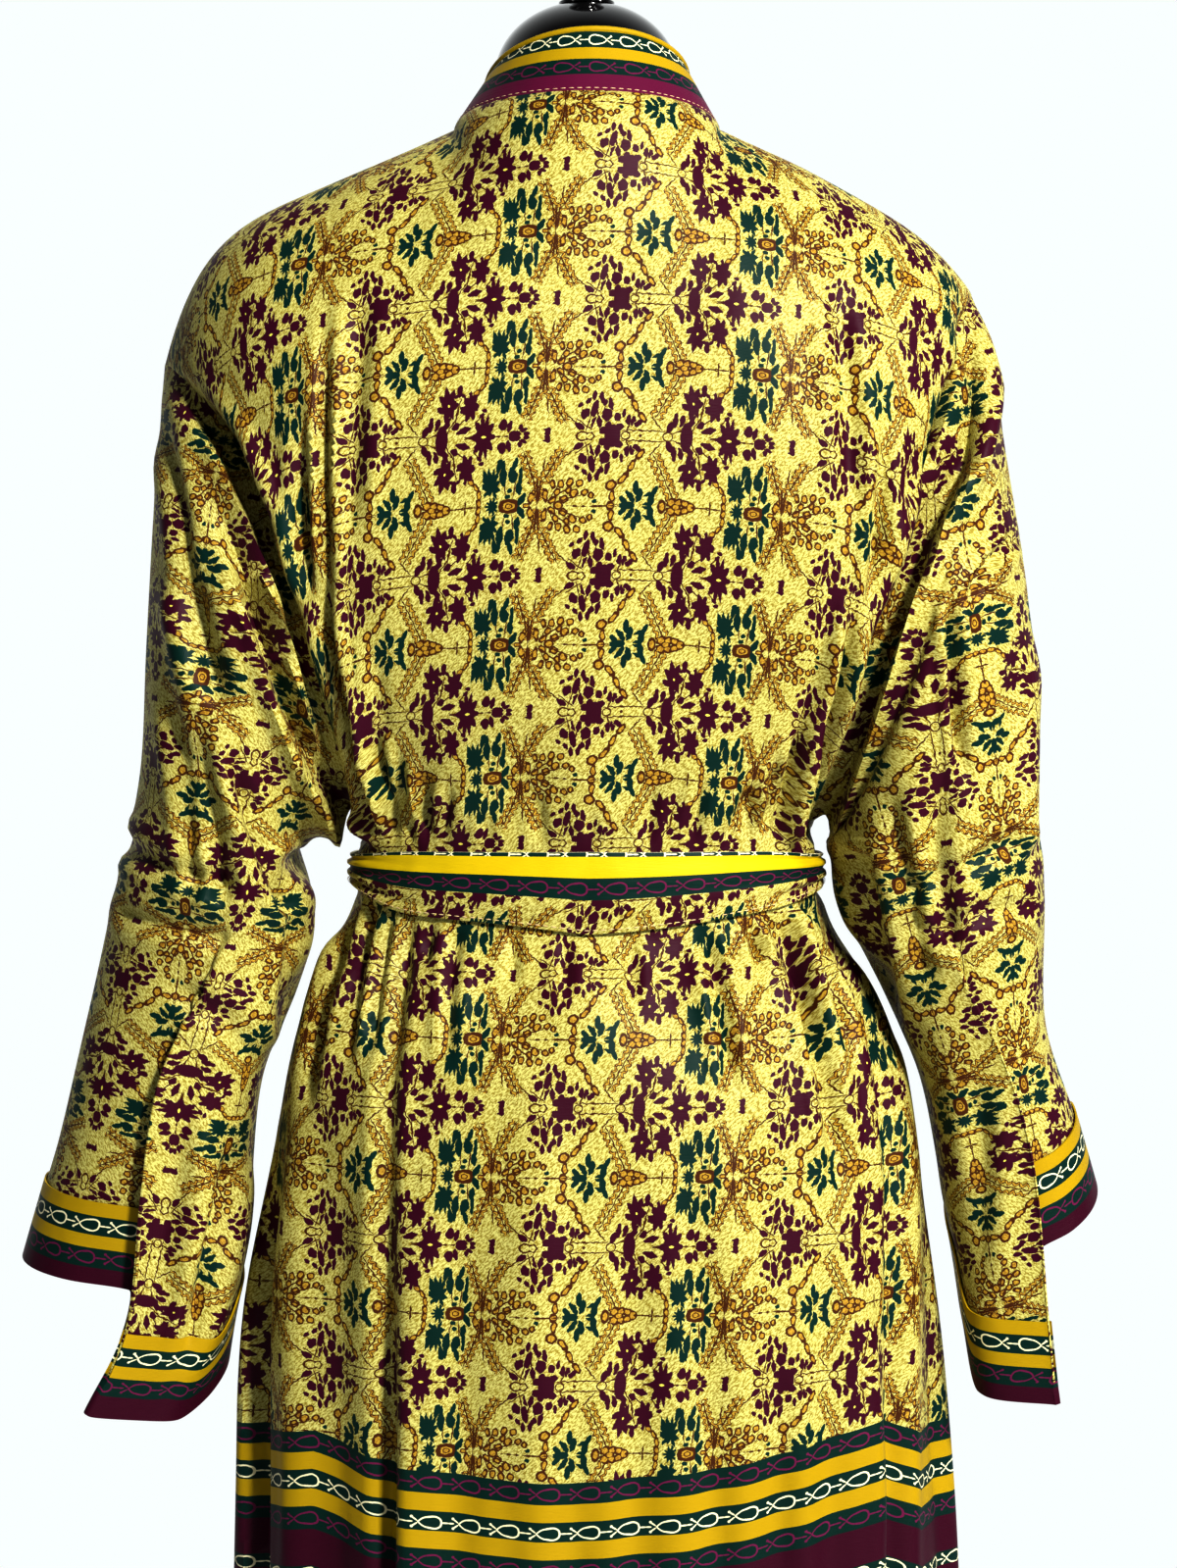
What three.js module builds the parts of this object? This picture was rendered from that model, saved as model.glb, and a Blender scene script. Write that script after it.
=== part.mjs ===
// Kimono robe with its own sash, worn by a limbless dress form on a stand.
// Millimetres, +Z up. The robe's front faces +Y and the wearer's right is +X.
// The origin is on the floor, under the middle of the stand's base.
import * as THREE from 'three';

const QUARTER = Math.PI / 2;
const DEGREE = Math.PI / 180;

// Cloth thicknesses, and the room left between neighbours
const CLOTH = 1.6;
const BAND_CLOTH = 1.2;
const SASH_CLOTH = 2.0;
const SEAM_GAP = 0.3;
const FRONT_LAYERS = 3.4; // between the middles of the two overlapping fronts
const BAND_WIDTH = 44; // border band at the neck, the front edges and the cuffs

// Heights of the robe
const HEM = 448;
const SASH_FOOT = 946;
const SASH_HEAD = 990;
const UNDERARM = 996;
const BLADE = 1190; // shoulder blades, halfway up the yoke at the centre back

// How finely the cloth is divided
const SASH_ROWS = [957, 968, SASH_HEAD, UNDERARM]; // heights of the rows above the sash's foot
const LOWER_ROWS = 20; // hem to underarm
const ARM_ROWS = 14; // underarm to shoulder line
const SHOULDER_COLUMNS = 12; // armhole to neck, also across one front
const NECK_COLUMNS = 6; // across the back neck
const ALL_ROWS = LOWER_ROWS + ARM_ROWS;
const ROW_CROWDING = 1.35; // above 1 the skirt's rows lie closer together higher up

// The body across: t runs from -1 at the left side seam or armhole to +1 at the right one
const NECK_T = 0.2;

// Level rings of the robe from the hem to the underarm, as distances from the
// middle: the side seams at left and right, the centre back and the centre front
const RINGS = [
  { z: 448, left: 196, right: 207, back: 126, front: 124 },
  { z: 600, left: 191, right: 202, back: 124, front: 122 },
  { z: 700, left: 186, right: 195, back: 122, front: 119 },
  { z: 790, left: 175, right: 183, back: 119, front: 115 },
  { z: 860, left: 163, right: 171, back: 111, front: 108 },
  { z: 915, left: 147, right: 149, back: 94, front: 95 },
  { z: 946, left: 131, right: 131, back: 78, front: 82 },
  { z: 957, left: 126, right: 126, back: 78, front: 82 },
  { z: 968, left: 123, right: 123, back: 78, front: 82 },
  { z: 990, left: 123, right: 123, back: 78, front: 82 },
  { z: 996, left: 124, right: 124, back: 79, front: 83 },
];
const RING_ROUND = 0.8; // below 1 the ring is fuller than an ellipse

// Depth of the yoke at the blade level: the centre and the armhole
const YOKE = {
  back: { centre: 110, side: 72, round: 0.6 },
  front: { centre: 118, side: 75, round: 0.6 },
};

// Shoulder lines: the neck point, and how each slopes and drops to its tip
const NECK_POINT = { out: 70, z: 1371 };
const SHOULDERS = {
  left: { slope: 0.45, dropPower: 8.8 },
  right: { slope: 0.49, dropPower: 6 },
};
const NECK_SOFT = 0.3; // how far in t the neck's corners soften towards the blade level
const BACK_NECK = { depth: 72.5, rise: 10 };
const FRONT_NECK = { depth: 66, rise: -49 };

// The neckband's free edge around the back of the neck; the band rises to it from
// the share standing of the way up a front
const COLLAR = { out: 53, front: 4, back: 52, side: 1397, rise: 20, tilt: 3.5, standing: 0.68 };

// Where each front ends, as t for the left front, at each share of the way
// from the hem (0) through the underarm (1) to the shoulder line (2)
const FRONT_EDGE = [
  { way: 0, t: 0.12 },
  { way: 0.9, t: 0.06 },
  { way: 1, t: -0.02 },
  { way: 1.17, t: -0.13 },
  { way: 1.33, t: -0.21 },
  { way: 1.5, t: -0.25 },
  { way: 1.75, t: -0.24 },
  { way: 2, t: -0.2 },
];

// Where the two fronts lie apart in layers: up to |t| whole, and below the height low
const LAP = { whole: 0.38, none: 0.62, low: 1190, high: 1330 };

// Sleeves as slanting rings from the armhole to the cuff: the outer and the
// inner end of each ring, its depth to the back and the front, how far its sides
// bow in towards the body, and how it narrows to its inner end
const SLEEVES = {
  left: {
    sections: [
      { outer: 227, outerZ: 1246, inner: 124, innerZ: 996, back: 72, front: 75, bow: 26, under: 1.3 },
      { outer: 230, outerZ: 1216, inner: 141, innerZ: 994, back: 84, front: 84, bow: 12, under: 1.2 },
      { outer: 234, outerZ: 1165, inner: 157, innerZ: 984, back: 86, front: 84, bow: 4, under: 1.1 },
      { outer: 237, outerZ: 1090, inner: 150, innerZ: 962, back: 80, front: 78, bow: 0, under: 1 },
      { outer: 241, outerZ: 1020, inner: 149, innerZ: 940, back: 72, front: 70, bow: 0, under: 0.9 },
      { outer: 254, outerZ: 965, inner: 158, innerZ: 908, back: 64, front: 64, bow: 0, under: 0.85 },
      { outer: 268, outerZ: 900, inner: 176, innerZ: 862, back: 58, front: 58, bow: 0, under: 0.85 },
      { outer: 284, outerZ: 831, inner: 183, innerZ: 800, back: 54, front: 54, bow: 0, under: 0.85 },
    ],
    hem: { outer: 303, inner: 196, back: 52, front: 52, under: 0.85 },
    hemLine: [
      { turn: 0, z: 766, flare: 0 },
      { turn: 60, z: 760, flare: 0 },
      { turn: 103, z: 755, flare: 0 },
      { turn: 128, z: 693, flare: 14 },
      { turn: 146, z: 686, flare: 13 },
      { turn: 165, z: 695, flare: 6 },
      { turn: 180, z: 708, flare: 0 },
      { turn: 230, z: 738, flare: 0 },
      { turn: 300, z: 758, flare: 0 },
      { turn: 360, z: 766, flare: 0 },
    ],
  },
  right: {
    sections: [
      { outer: 205, outerZ: 1283, inner: 124, innerZ: 996, back: 72, front: 75, bow: 6, under: 1.3 },
      { outer: 212, outerZ: 1262, inner: 136, innerZ: 992, back: 84, front: 82, bow: -6, under: 1.2 },
      { outer: 222, outerZ: 1213, inner: 136, innerZ: 984, back: 90, front: 86, bow: 0, under: 1.1 },
      { outer: 237, outerZ: 1115, inner: 136, innerZ: 962, back: 84, front: 80, bow: 0, under: 1 },
      { outer: 243, outerZ: 1030, inner: 148, innerZ: 936, back: 74, front: 72, bow: 0, under: 0.9 },
      { outer: 246, outerZ: 960, inner: 163, innerZ: 906, back: 66, front: 66, bow: 0, under: 0.85 },
      { outer: 248, outerZ: 892, inner: 181, innerZ: 864, back: 58, front: 58, bow: 0, under: 0.85 },
      { outer: 262, outerZ: 848, inner: 191, innerZ: 818, back: 54, front: 54, bow: 0, under: 0.85 },
    ],
    hem: { outer: 275, inner: 205, back: 50, front: 50, under: 0.85 },
    hemLine: [
      { turn: 0, z: 805, flare: 0 },
      { turn: 60, z: 786, flare: 0 },
      { turn: 103, z: 773, flare: 0 },
      { turn: 128, z: 697, flare: 0 },
      { turn: 150, z: 700, flare: 0 },
      { turn: 180, z: 732, flare: 0 },
      { turn: 230, z: 768, flare: 0 },
      { turn: 300, z: 795, flare: 0 },
      { turn: 360, z: 805, flare: 0 },
    ],
  },
};
const ARM_ROUND = { back: 0.85, front: 0.75 }; // the armhole's fullness above its middle
const UNDERARM_ROUND = 1.3; // and below it, as the first ring of each sleeve narrows
const SLEEVE_STEPS = 2; // rows between two sections of a sleeve
const CUFF_STEPS = 2;
const SLEEVE_COLUMNS = 2 * ARM_ROWS;

// The long pleat at the back of each sleeve: it grows from one section to
// another, stands up towards the back, laps over its outer part and ends at a turn
const PLEAT = { turn: 115, width: 22, lift: 20, lap: 9, from: 3.5, to: 6.5, ebb: 165, end: 200 };

// Big folds of the skirt: each sunk stretch runs between two t values
const SKIRT_FOLDS = [
  { face: 'back', from: -0.9, to: -0.36, depth: 13, top: 850 },
  { face: 'back', from: 0.58, to: 0.93, depth: 11, top: 840 },
  { face: 'back', from: -0.16, to: 0.02, depth: 4, top: 760 },
  { face: 'back', from: 0.2, to: 0.36, depth: 5, top: 800 },
  { face: 'front', from: -0.88, to: -0.5, depth: 10, top: 830 },
  { face: 'front', from: 0.44, to: 0.86, depth: 5, top: 850 },
];
const FOLD_SIDE = 0.1; // width in t of each side of a fold
const FOLD_RUN = 180; // height over which a fold grows to its whole depth

// Gathers that the sash pulls in above and below itself, by their distance from it
const GATHERS = { waves: 6, depth: 2.6, grown: 24, fading: 20, reach: 75 };

// Sash wrapped round the waist: half its height and its upper edge at each t
const SASH_BACK = [
  { t: 0, half: 21, head: 989 },
  { t: 0.5, half: 16, head: 988 },
  { t: 0.8, half: 9.8, head: 985 },
  { t: 1, half: 7.6, head: 983.5 },
];
const SASH_FRONT = [
  { t: 0, half: 9, head: 983 },
  { t: 0.5, half: 9, head: 983 },
  { t: 1, half: 7.6, head: 983.5 },
];
const SASH_COLUMNS = 30; // round the front
const SASH_CLEAR = { back: 2.3, front: 4.6, from: 0.6 }; // off the robe; over two fronts it grows
const KNOT = { wide: 25, deep: 13, tall: 20, z: 972 };
const TAILS = [
  { name: 'sash_tail_left', length: 372, topT: -0.06, footT: -0.17 },
  { name: 'sash_tail_right', length: 338, topT: 0.06, footT: 0.12 },
];
const TAIL = { topWidth: 16, width: 42, spread: 0.25, head: 952.5, proud: 5.2, topProud: 10, fall: 22 };
const TAIL_ROWS = 12;

// Dress form as level rings: half its width, its depth to the back and front,
// and the power of the outline (2 is an ellipse, more is squarer)
const FORM_RINGS = [
  { z: 790, half: 146, back: 88, front: 86, power: 2.2 },
  { z: 800, half: 152, back: 92, front: 90, power: 2.2 },
  { z: 840, half: 151, back: 93, front: 92, power: 2.2 },
  { z: 880, half: 141, back: 87, front: 89, power: 2.2 },
  { z: 930, half: 118, back: 74, front: 77, power: 2.2 },
  { z: 968, half: 109, back: 69, front: 72, power: 2.2 },
  { z: 1040, half: 116, back: 74, front: 84, power: 2.2 },
  { z: 1090, half: 127, back: 82, front: 96, power: 2.2 },
  { z: 1150, half: 144, back: 88, front: 103, power: 2.2 },
  { z: 1205, half: 162, back: 89, front: 99, power: 2.1 },
  { z: 1245, half: 174, back: 86, front: 88, power: 2 },
  { z: 1275, half: 179, back: 82, front: 77, power: 2 },
  { z: 1298, half: 175, back: 76, front: 67, power: 1.9 },
  { z: 1312, half: 167, back: 72, front: 60, power: 1.8 },
  { z: 1323, half: 157, back: 69, front: 55, power: 1.7 },
  { z: 1335, half: 137, back: 65, front: 51, power: 1.6 },
  { z: 1350, half: 107, back: 59, front: 49, power: 1.5 },
  { z: 1365, half: 76, back: 54, front: 50, power: 1.5 },
  { z: 1374, half: 59, back: 51, front: 51, power: 1.7 },
  { z: 1384, half: 51, back: 47, front: 53, power: 2 },
  { z: 1392, half: 49.5, back: 45, front: 54, power: 2 },
];
const FORM_COLUMNS = 24;
const NECK = { middle: 4.5, radius: 49.5, side: 1399, dome: 41, end: 72, steps: 7 };
const KNOB = { foot: 15, waist: 10, waistHeight: 10, ball: 13.5, height: 40, steps: 6 };
const POLE = { radius: 12.5, foot: 60 };
const BASE = { radius: 175, rim: 7, dome: 20, hub: 26 };

function mix(a, b, share) {
  return a + (b - a) * share;
}

function smooth(from, to, value) {
  const share = Math.min(1, Math.max(0, (value - from) / (to - from)));
  return share * share * (3 - 2 * share);
}

// A smooth curve through one column of a table, which never overshoots its rows
function readTable(rows, key, name, at) {
  const last = rows.length - 1;
  if (at <= rows[0][key]) return rows[0][name];
  if (at >= rows[last][key]) return rows[last][name];
  const slope = (i) => (rows[i + 1][name] - rows[i][name]) / (rows[i + 1][key] - rows[i][key]);
  const tangent = (i) => {
    if (i === 0) return slope(0);
    if (i === last) return slope(last - 1);
    const before = slope(i - 1);
    const after = slope(i);
    return before * after <= 0 ? 0 : (2 * before * after) / (before + after);
  };
  const i = rows.findIndex((row, index) => index < last && at <= rows[index + 1][key]);
  const span = rows[i + 1][key] - rows[i][key];
  const s = (at - rows[i][key]) / span;
  const keep = 1 - s;
  return (
    rows[i][name] * (1 + 2 * s) * keep * keep +
    rows[i + 1][name] * (3 - 2 * s) * s * s +
    tangent(i) * span * s * keep * keep -
    tangent(i + 1) * span * s * s * keep
  );
}

function sideOf(t) {
  return t < 0 ? 'left' : 'right';
}

// Height of a lower row; the rows of the skirt crowd towards the sash
function ringHeight(row) {
  const skirtRows = LOWER_ROWS - SASH_ROWS.length;
  if (row > skirtRows) return SASH_ROWS[row - skirtRows - 1];
  return HEM + (SASH_FOOT - HEM) * (1 - Math.pow(1 - row / skirtRows, ROW_CROWDING));
}

// Turn round the armhole of an upper row: a half turn at the underarm, none at the tip
function armTurn(row) {
  return Math.PI * (1 - (row - LOWER_ROWS) / ARM_ROWS);
}

function ringPoint(face, t, z) {
  const angle = Math.abs(t) * QUARTER;
  const out = readTable(RINGS, 'z', sideOf(t), z);
  const depth = readTable(RINGS, 'z', face, z);
  const y = depth * Math.pow(Math.cos(angle), RING_ROUND);
  return new THREE.Vector3(Math.sign(t) * out * Math.sin(angle), face === 'back' ? -y : y, z);
}

// Height of the shoulder line at a distance out from the middle
function shoulderHeight(side, out) {
  const tip = SLEEVES[side].sections[0];
  const { slope, dropPower } = SHOULDERS[side];
  const run = out - NECK_POINT.out;
  const wholeRun = tip.outer - NECK_POINT.out;
  const drop = NECK_POINT.z - slope * wholeRun - tip.outerZ;
  return NECK_POINT.z - slope * run - drop * Math.pow(run / wholeRun, dropPower);
}

// The top edge of a face: the shoulder lines, and the neck line between them
function topPoint(face, t) {
  const side = sideOf(t);
  const away = Math.abs(t);
  if (away >= NECK_T) {
    const share = Math.sin(((away - NECK_T) / (1 - NECK_T)) * QUARTER);
    const out = mix(NECK_POINT.out, SLEEVES[side].sections[0].outer, share);
    return new THREE.Vector3(Math.sign(t) * out, 0, shoulderHeight(side, out));
  }
  const angle = (t / NECK_T) * QUARTER;
  const neck = face === 'back' ? BACK_NECK : FRONT_NECK;
  const y = neck.depth * Math.cos(angle);
  const z = NECK_POINT.z + neck.rise * Math.cos(angle);
  return new THREE.Vector3(NECK_POINT.out * Math.sin(angle), face === 'back' ? -y : y, z);
}

// The top edge as the yoke below it feels it: its corners soften on the way down
function softTop(face, t, climb) {
  const reach = Math.min(NECK_SOFT * (1 - climb), 1 - Math.abs(t));
  const sides = topPoint(face, t - reach).add(topPoint(face, t + reach)).multiplyScalar(0.5);
  return sides.lerp(topPoint(face, t), 0.4);
}

// The yoke between the underarm and the top edge, which ends in the armhole's ring
function yokePoint(face, t, turn) {
  const arm = SLEEVES[sideOf(t)].sections[0];
  const away = Math.abs(t);
  const bow = arm.bow * away ** 3;
  const middleOut = (arm.outer + arm.inner) / 2 - arm.bow;
  const middleZ = mix(BLADE, (arm.outerZ + arm.innerZ) / 2, away ** 3);
  const { centre, side, round } = YOKE[face];
  const depth = mix(side, centre, Math.pow(Math.cos(away * QUARTER), round));
  const bladeX = Math.sign(t) * middleOut * Math.sin(away * QUARTER);
  const axisX = bladeX + Math.sign(t) * bow;
  const rising = turn < QUARTER;
  const share = Math.abs(1 - turn / QUARTER);
  const circular = rising ? mix(0.25, 1, smooth(0, 2 * NECK_T, away)) : away ** 3;
  const climb = mix(share, Math.sin(share * QUARTER), circular);
  const end = rising ? softTop(face, t, climb) : ringPoint(face, t, UNDERARM);
  const fullness = rising ? mix(0.6, ARM_ROUND[face], away) : mix(1, UNDERARM_ROUND, away);
  const swell = Math.pow(Math.max(0, Math.cos(share * QUARTER)), fullness);
  const direction = face === 'back' ? -1 : 1;
  return new THREE.Vector3(
    axisX + (end.x - axisX) * climb - Math.sign(t) * bow * Math.cos(share * QUARTER),
    end.y + (direction * depth - end.y) * swell,
    mix(middleZ, end.z, climb),
  );
}

// How far the folds and gathers move the cloth out at a place on the body
function foldShift(face, t, z) {
  let shift = 0;
  for (const fold of SKIRT_FOLDS) {
    if (fold.face !== face) continue;
    const inside = smooth(fold.from - FOLD_SIDE / 2, fold.from + FOLD_SIDE / 2, t);
    const beyond = smooth(fold.to - FOLD_SIDE / 2, fold.to + FOLD_SIDE / 2, t);
    shift -= fold.depth * (inside - beyond) * smooth(fold.top, fold.top - FOLD_RUN, z);
  }
  const above = z - SASH_HEAD;
  const below = SASH_FOOT - z;
  const away = Math.max(above, below);
  if (away > 0) {
    const growing = smooth(0, GATHERS.grown, away);
    const fading = 1 - smooth(GATHERS.fading, GATHERS.reach, away);
    const nearSeam = 1 - Math.abs(t) ** 6;
    shift += GATHERS.depth * growing * fading * nearSeam * Math.cos(Math.PI * GATHERS.waves * t);
  }
  return shift;
}

// Share of the front layers' separation that holds at a place on a front
function lapShare(t, z) {
  const across = 1 - smooth(LAP.whole, LAP.none, Math.abs(t));
  return across * (1 - smooth(LAP.low, LAP.high, z));
}

// A point of the robe's body; layer is 1 on the upper front, -1 on the lower one
function bodyPoint(face, t, row, layer = 0) {
  const upper = row > LOWER_ROWS;
  const point = upper ? yokePoint(face, t, armTurn(row)) : ringPoint(face, t, ringHeight(row));
  const lap = (layer * FRONT_LAYERS * lapShare(t, point.z)) / 2;
  const shift = foldShift(face, t, point.z) + lap;
  const outward = face === 'back' ? -1 : 1;
  point.x += shift * Math.sin(t * QUARTER);
  point.y += shift * outward * Math.cos(t * QUARTER);
  return point;
}

function frontEdgeT(row) {
  const way = row <= LOWER_ROWS ? row / LOWER_ROWS : 1 + (row - LOWER_ROWS) / ARM_ROWS;
  return readTable(FRONT_EDGE, 'way', 't', way);
}

// Back panel: all columns from the left side to the right one
function backGrid() {
  const half = SHOULDER_COLUMNS;
  const grid = [];
  for (let row = 0; row <= ALL_ROWS; row += 1) {
    const line = [];
    for (let column = 0; column <= 2 * half + NECK_COLUMNS; column += 1) {
      line.push(bodyPoint('back', backT(column), row));
    }
    grid.push(line);
  }
  return grid;
}

function backT(column) {
  const half = SHOULDER_COLUMNS;
  if (column <= half) return mix(-1, -NECK_T, column / half);
  if (column <= half + NECK_COLUMNS) return mix(-NECK_T, NECK_T, (column - half) / NECK_COLUMNS);
  return mix(NECK_T, 1, (column - half - NECK_COLUMNS) / half);
}

// A front, from its side seam to its front edge; side is -1 for the left one
function frontGrid(side) {
  const grid = [];
  for (let row = 0; row <= ALL_ROWS; row += 1) {
    const edge = -side * frontEdgeT(row);
    const line = [];
    for (let column = 0; column <= SHOULDER_COLUMNS; column += 1) {
      line.push(bodyPoint('front', mix(side, edge, column / SHOULDER_COLUMNS), row, -side));
    }
    grid.push(line);
  }
  return grid;
}

// Points at a few distances past a front's edge, measured along its own row
function pastEdge(side, row, distances) {
  const step = 0.004;
  const points = [];
  let t = -side * frontEdgeT(row);
  let here = bodyPoint('front', t, row, -side);
  let length = 0;
  for (const distance of distances) {
    while (length < distance) {
      t -= side * step;
      const next = bodyPoint('front', t, row, -side);
      length += next.distanceTo(here);
      here = next;
    }
    points.push(here.clone());
  }
  return points;
}

function collarPoint(share) {
  const angle = share * QUARTER;
  const depth = COLLAR.front + COLLAR.back;
  return new THREE.Vector3(
    COLLAR.out * Math.sin(angle),
    COLLAR.front - depth * Math.cos(angle),
    COLLAR.side + COLLAR.rise * Math.cos(angle) + COLLAR.tilt * share,
  );
}

// One crossing of the neckband beside a front: its seam, middle and free edge
function frontBandLine(side, row, seam) {
  const flat = pastEdge(side, row, [BAND_WIDTH / 2, BAND_WIDTH]);
  const way = (row - LOWER_ROWS) / ARM_ROWS;
  const standing = smooth(COLLAR.standing, 1, way);
  const neck = new THREE.Vector3(side * NECK_POINT.out, 0, NECK_POINT.z);
  const stand = collarPoint(side).sub(neck);
  const line = [seam.clone()];
  flat.forEach((point, index) => {
    const lying = point.clone().sub(seam);
    const rising = stand.clone().multiplyScalar((index + 1) / 2);
    line.push(seam.clone().add(lying.lerp(rising, standing)));
  });
  return line;
}

// Neckband: up the right front, round the back of the neck and down the left front
function neckbandGrid(surfaces) {
  const grid = [];
  const last = SHOULDER_COLUMNS;
  for (let row = 0; row <= ALL_ROWS; row += 1) {
    grid.push(frontBandLine(1, row, surfaces.front_right.grid[row][last]));
  }
  for (let column = NECK_COLUMNS - 1; column > 0; column -= 1) {
    const seam = surfaces.back.grid[ALL_ROWS][SHOULDER_COLUMNS + column];
    const edge = collarPoint((2 * column) / NECK_COLUMNS - 1);
    grid.push([seam.clone(), seam.clone().lerp(edge, 0.5), edge]);
  }
  for (let row = ALL_ROWS; row >= 0; row -= 1) {
    grid.push(frontBandLine(-1, row, surfaces.front_left.grid[row][last]));
  }
  return grid;
}

// A slanting ring of a sleeve; out is the distance from the middle of the body
function sleeveRing(section, turn) {
  const cosine = Math.cos(turn);
  const sine = Math.sin(turn);
  const face = sine >= 0 ? 'back' : 'front';
  const round = cosine > 0 ? ARM_ROUND[face] : section.under;
  const swell = section[face] * Math.pow(Math.abs(sine), round);
  return new THREE.Vector3(
    mix(section.inner, section.outer, (1 + cosine) / 2) - section.bow * Math.abs(sine),
    face === 'back' ? -swell : swell,
    mix(section.innerZ, section.outerZ, (1 + cosine) / 2),
  );
}

function hemPoint(sleeve, turn) {
  const point = sleeveRing({ ...sleeve.hem, outerZ: 0, innerZ: 0, bow: 0 }, turn);
  point.z = readTable(sleeve.hemLine, 'turn', 'z', turn / DEGREE);
  return point;
}

// The pleat's shift of a sleeve's point, whole from section PLEAT.to on
function addPleat(point, turn, section) {
  const strength = smooth(PLEAT.from, PLEAT.to, section);
  const place = turn / DEGREE;
  const raised = smooth(PLEAT.turn - PLEAT.width / 2, PLEAT.turn + PLEAT.width / 2, place);
  const lowered = smooth(PLEAT.ebb, PLEAT.end, place);
  const crest = Math.exp(-(((place - PLEAT.turn - PLEAT.width / 2) / PLEAT.width) ** 2));
  point.y -= PLEAT.lift * strength * (raised - lowered);
  point.x += PLEAT.lap * strength * crest;
  return point;
}

// Points down a sleeve at one turn: through its sections, then to the cuff and the hem
function sleeveLine(sleeve, turn) {
  const sections = sleeve.sections;
  const stops = sections.map((section, index) => addPleat(sleeveRing(section, turn), turn, index));
  const hem = addPleat(hemPoint(sleeve, turn), turn, sections.length);
  const above = stops[stops.length - 1].clone().sub(hem);
  const cuffTop = hem.clone().add(above.setLength(BAND_WIDTH));
  hem.x += readTable(sleeve.hemLine, 'turn', 'flare', turn / DEGREE);
  const path = new THREE.CatmullRomCurve3([...stops, cuffTop, hem], false, 'centripetal');
  const spans = stops.length + 1;
  const line = [];
  for (let span = 0; span < spans; span += 1) {
    const steps = span === spans - 1 ? CUFF_STEPS : SLEEVE_STEPS;
    for (let step = 0; step < steps; step += 1) {
      line.push(path.getPoint((span + step / steps) / spans));
    }
  }
  line.push(hem);
  return line;
}

function sleeveGrid(name) {
  const direction = name === 'left' ? -1 : 1;
  const lines = [];
  for (let column = 0; column < SLEEVE_COLUMNS; column += 1) {
    const line = sleeveLine(SLEEVES[name], (column / SLEEVE_COLUMNS) * 2 * Math.PI);
    line.forEach((point) => {
      point.x *= direction;
    });
    lines.push(line);
  }
  return lines[0].map((unused, row) => lines.map((line) => line[row]));
}

// The outward normal of each point of a grid, from its neighbours
function gridNormals({ grid, closed, flip }) {
  const rows = grid.length;
  const columns = grid[0].length;
  return grid.map((line, i) =>
    line.map((point, j) => {
      const next = closed ? (j + 1) % columns : Math.min(columns - 1, j + 1);
      const before = closed ? (j + columns - 1) % columns : Math.max(0, j - 1);
      const across = line[next].clone().sub(line[before]);
      const along = grid[Math.min(rows - 1, i + 1)][j].clone().sub(grid[Math.max(0, i - 1)][j]);
      const normal = across.cross(along).normalize();
      return flip ? normal.negate() : normal;
    }),
  );
}

// Surfaces that are sewn together share their normals along the seam, so that
// the two cut edges face each other squarely
function shareNormals(surfaces) {
  const sums = new Map();
  const keyOf = ({ x, y, z }) => [x, y, z].map((value) => Math.round(value * 1000) || 0).join();
  const visit = (action) => {
    for (const surface of Object.values(surfaces)) {
      surface.grid.forEach((line, i) => line.forEach((point, j) => action(surface, i, j, keyOf(point))));
    }
  };
  visit((surface, i, j, key) => {
    const sum = sums.get(key) ?? new THREE.Vector3();
    sums.set(key, sum.add(surface.normals[i][j]));
  });
  visit((surface, i, j, key) => surface.normals[i][j].copy(sums.get(key)).normalize());
}

// Cut edges that are seams step back by half the gap, square to the seam line
function pullBack({ grid, normals, closed, flip, seams = {} }) {
  const rows = grid.length;
  const columns = grid[0].length;
  const shifts = [];
  const at = (i, j) => {
    const row = Math.min(rows - 1, Math.max(0, i));
    const column = closed ? (j + columns) % columns : Math.min(columns - 1, Math.max(0, j));
    return grid[row][column];
  };
  const pull = (i, j, rowStep, columnStep, inward) => {
    const along = at(i + rowStep, j + columnStep).clone().sub(at(i - rowStep, j - columnStep));
    const square = along.cross(normals[i][j]).setLength((SEAM_GAP / 2) * inward);
    shifts.push({ point: grid[i][j], by: flip ? square.negate() : square });
  };
  for (let i = 0; i < rows; i += 1) {
    if (seams.first) pull(i, 0, 1, 0, 1);
    if (seams.last) pull(i, columns - 1, 1, 0, -1);
  }
  for (let j = 0; j < columns; j += 1) {
    if (seams.foot) pull(0, j, 0, 1, -1);
    if (seams.head) pull(rows - 1, j, 0, 1, 1);
  }
  shifts.forEach(({ point, by }) => point.add(by));
}

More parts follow.
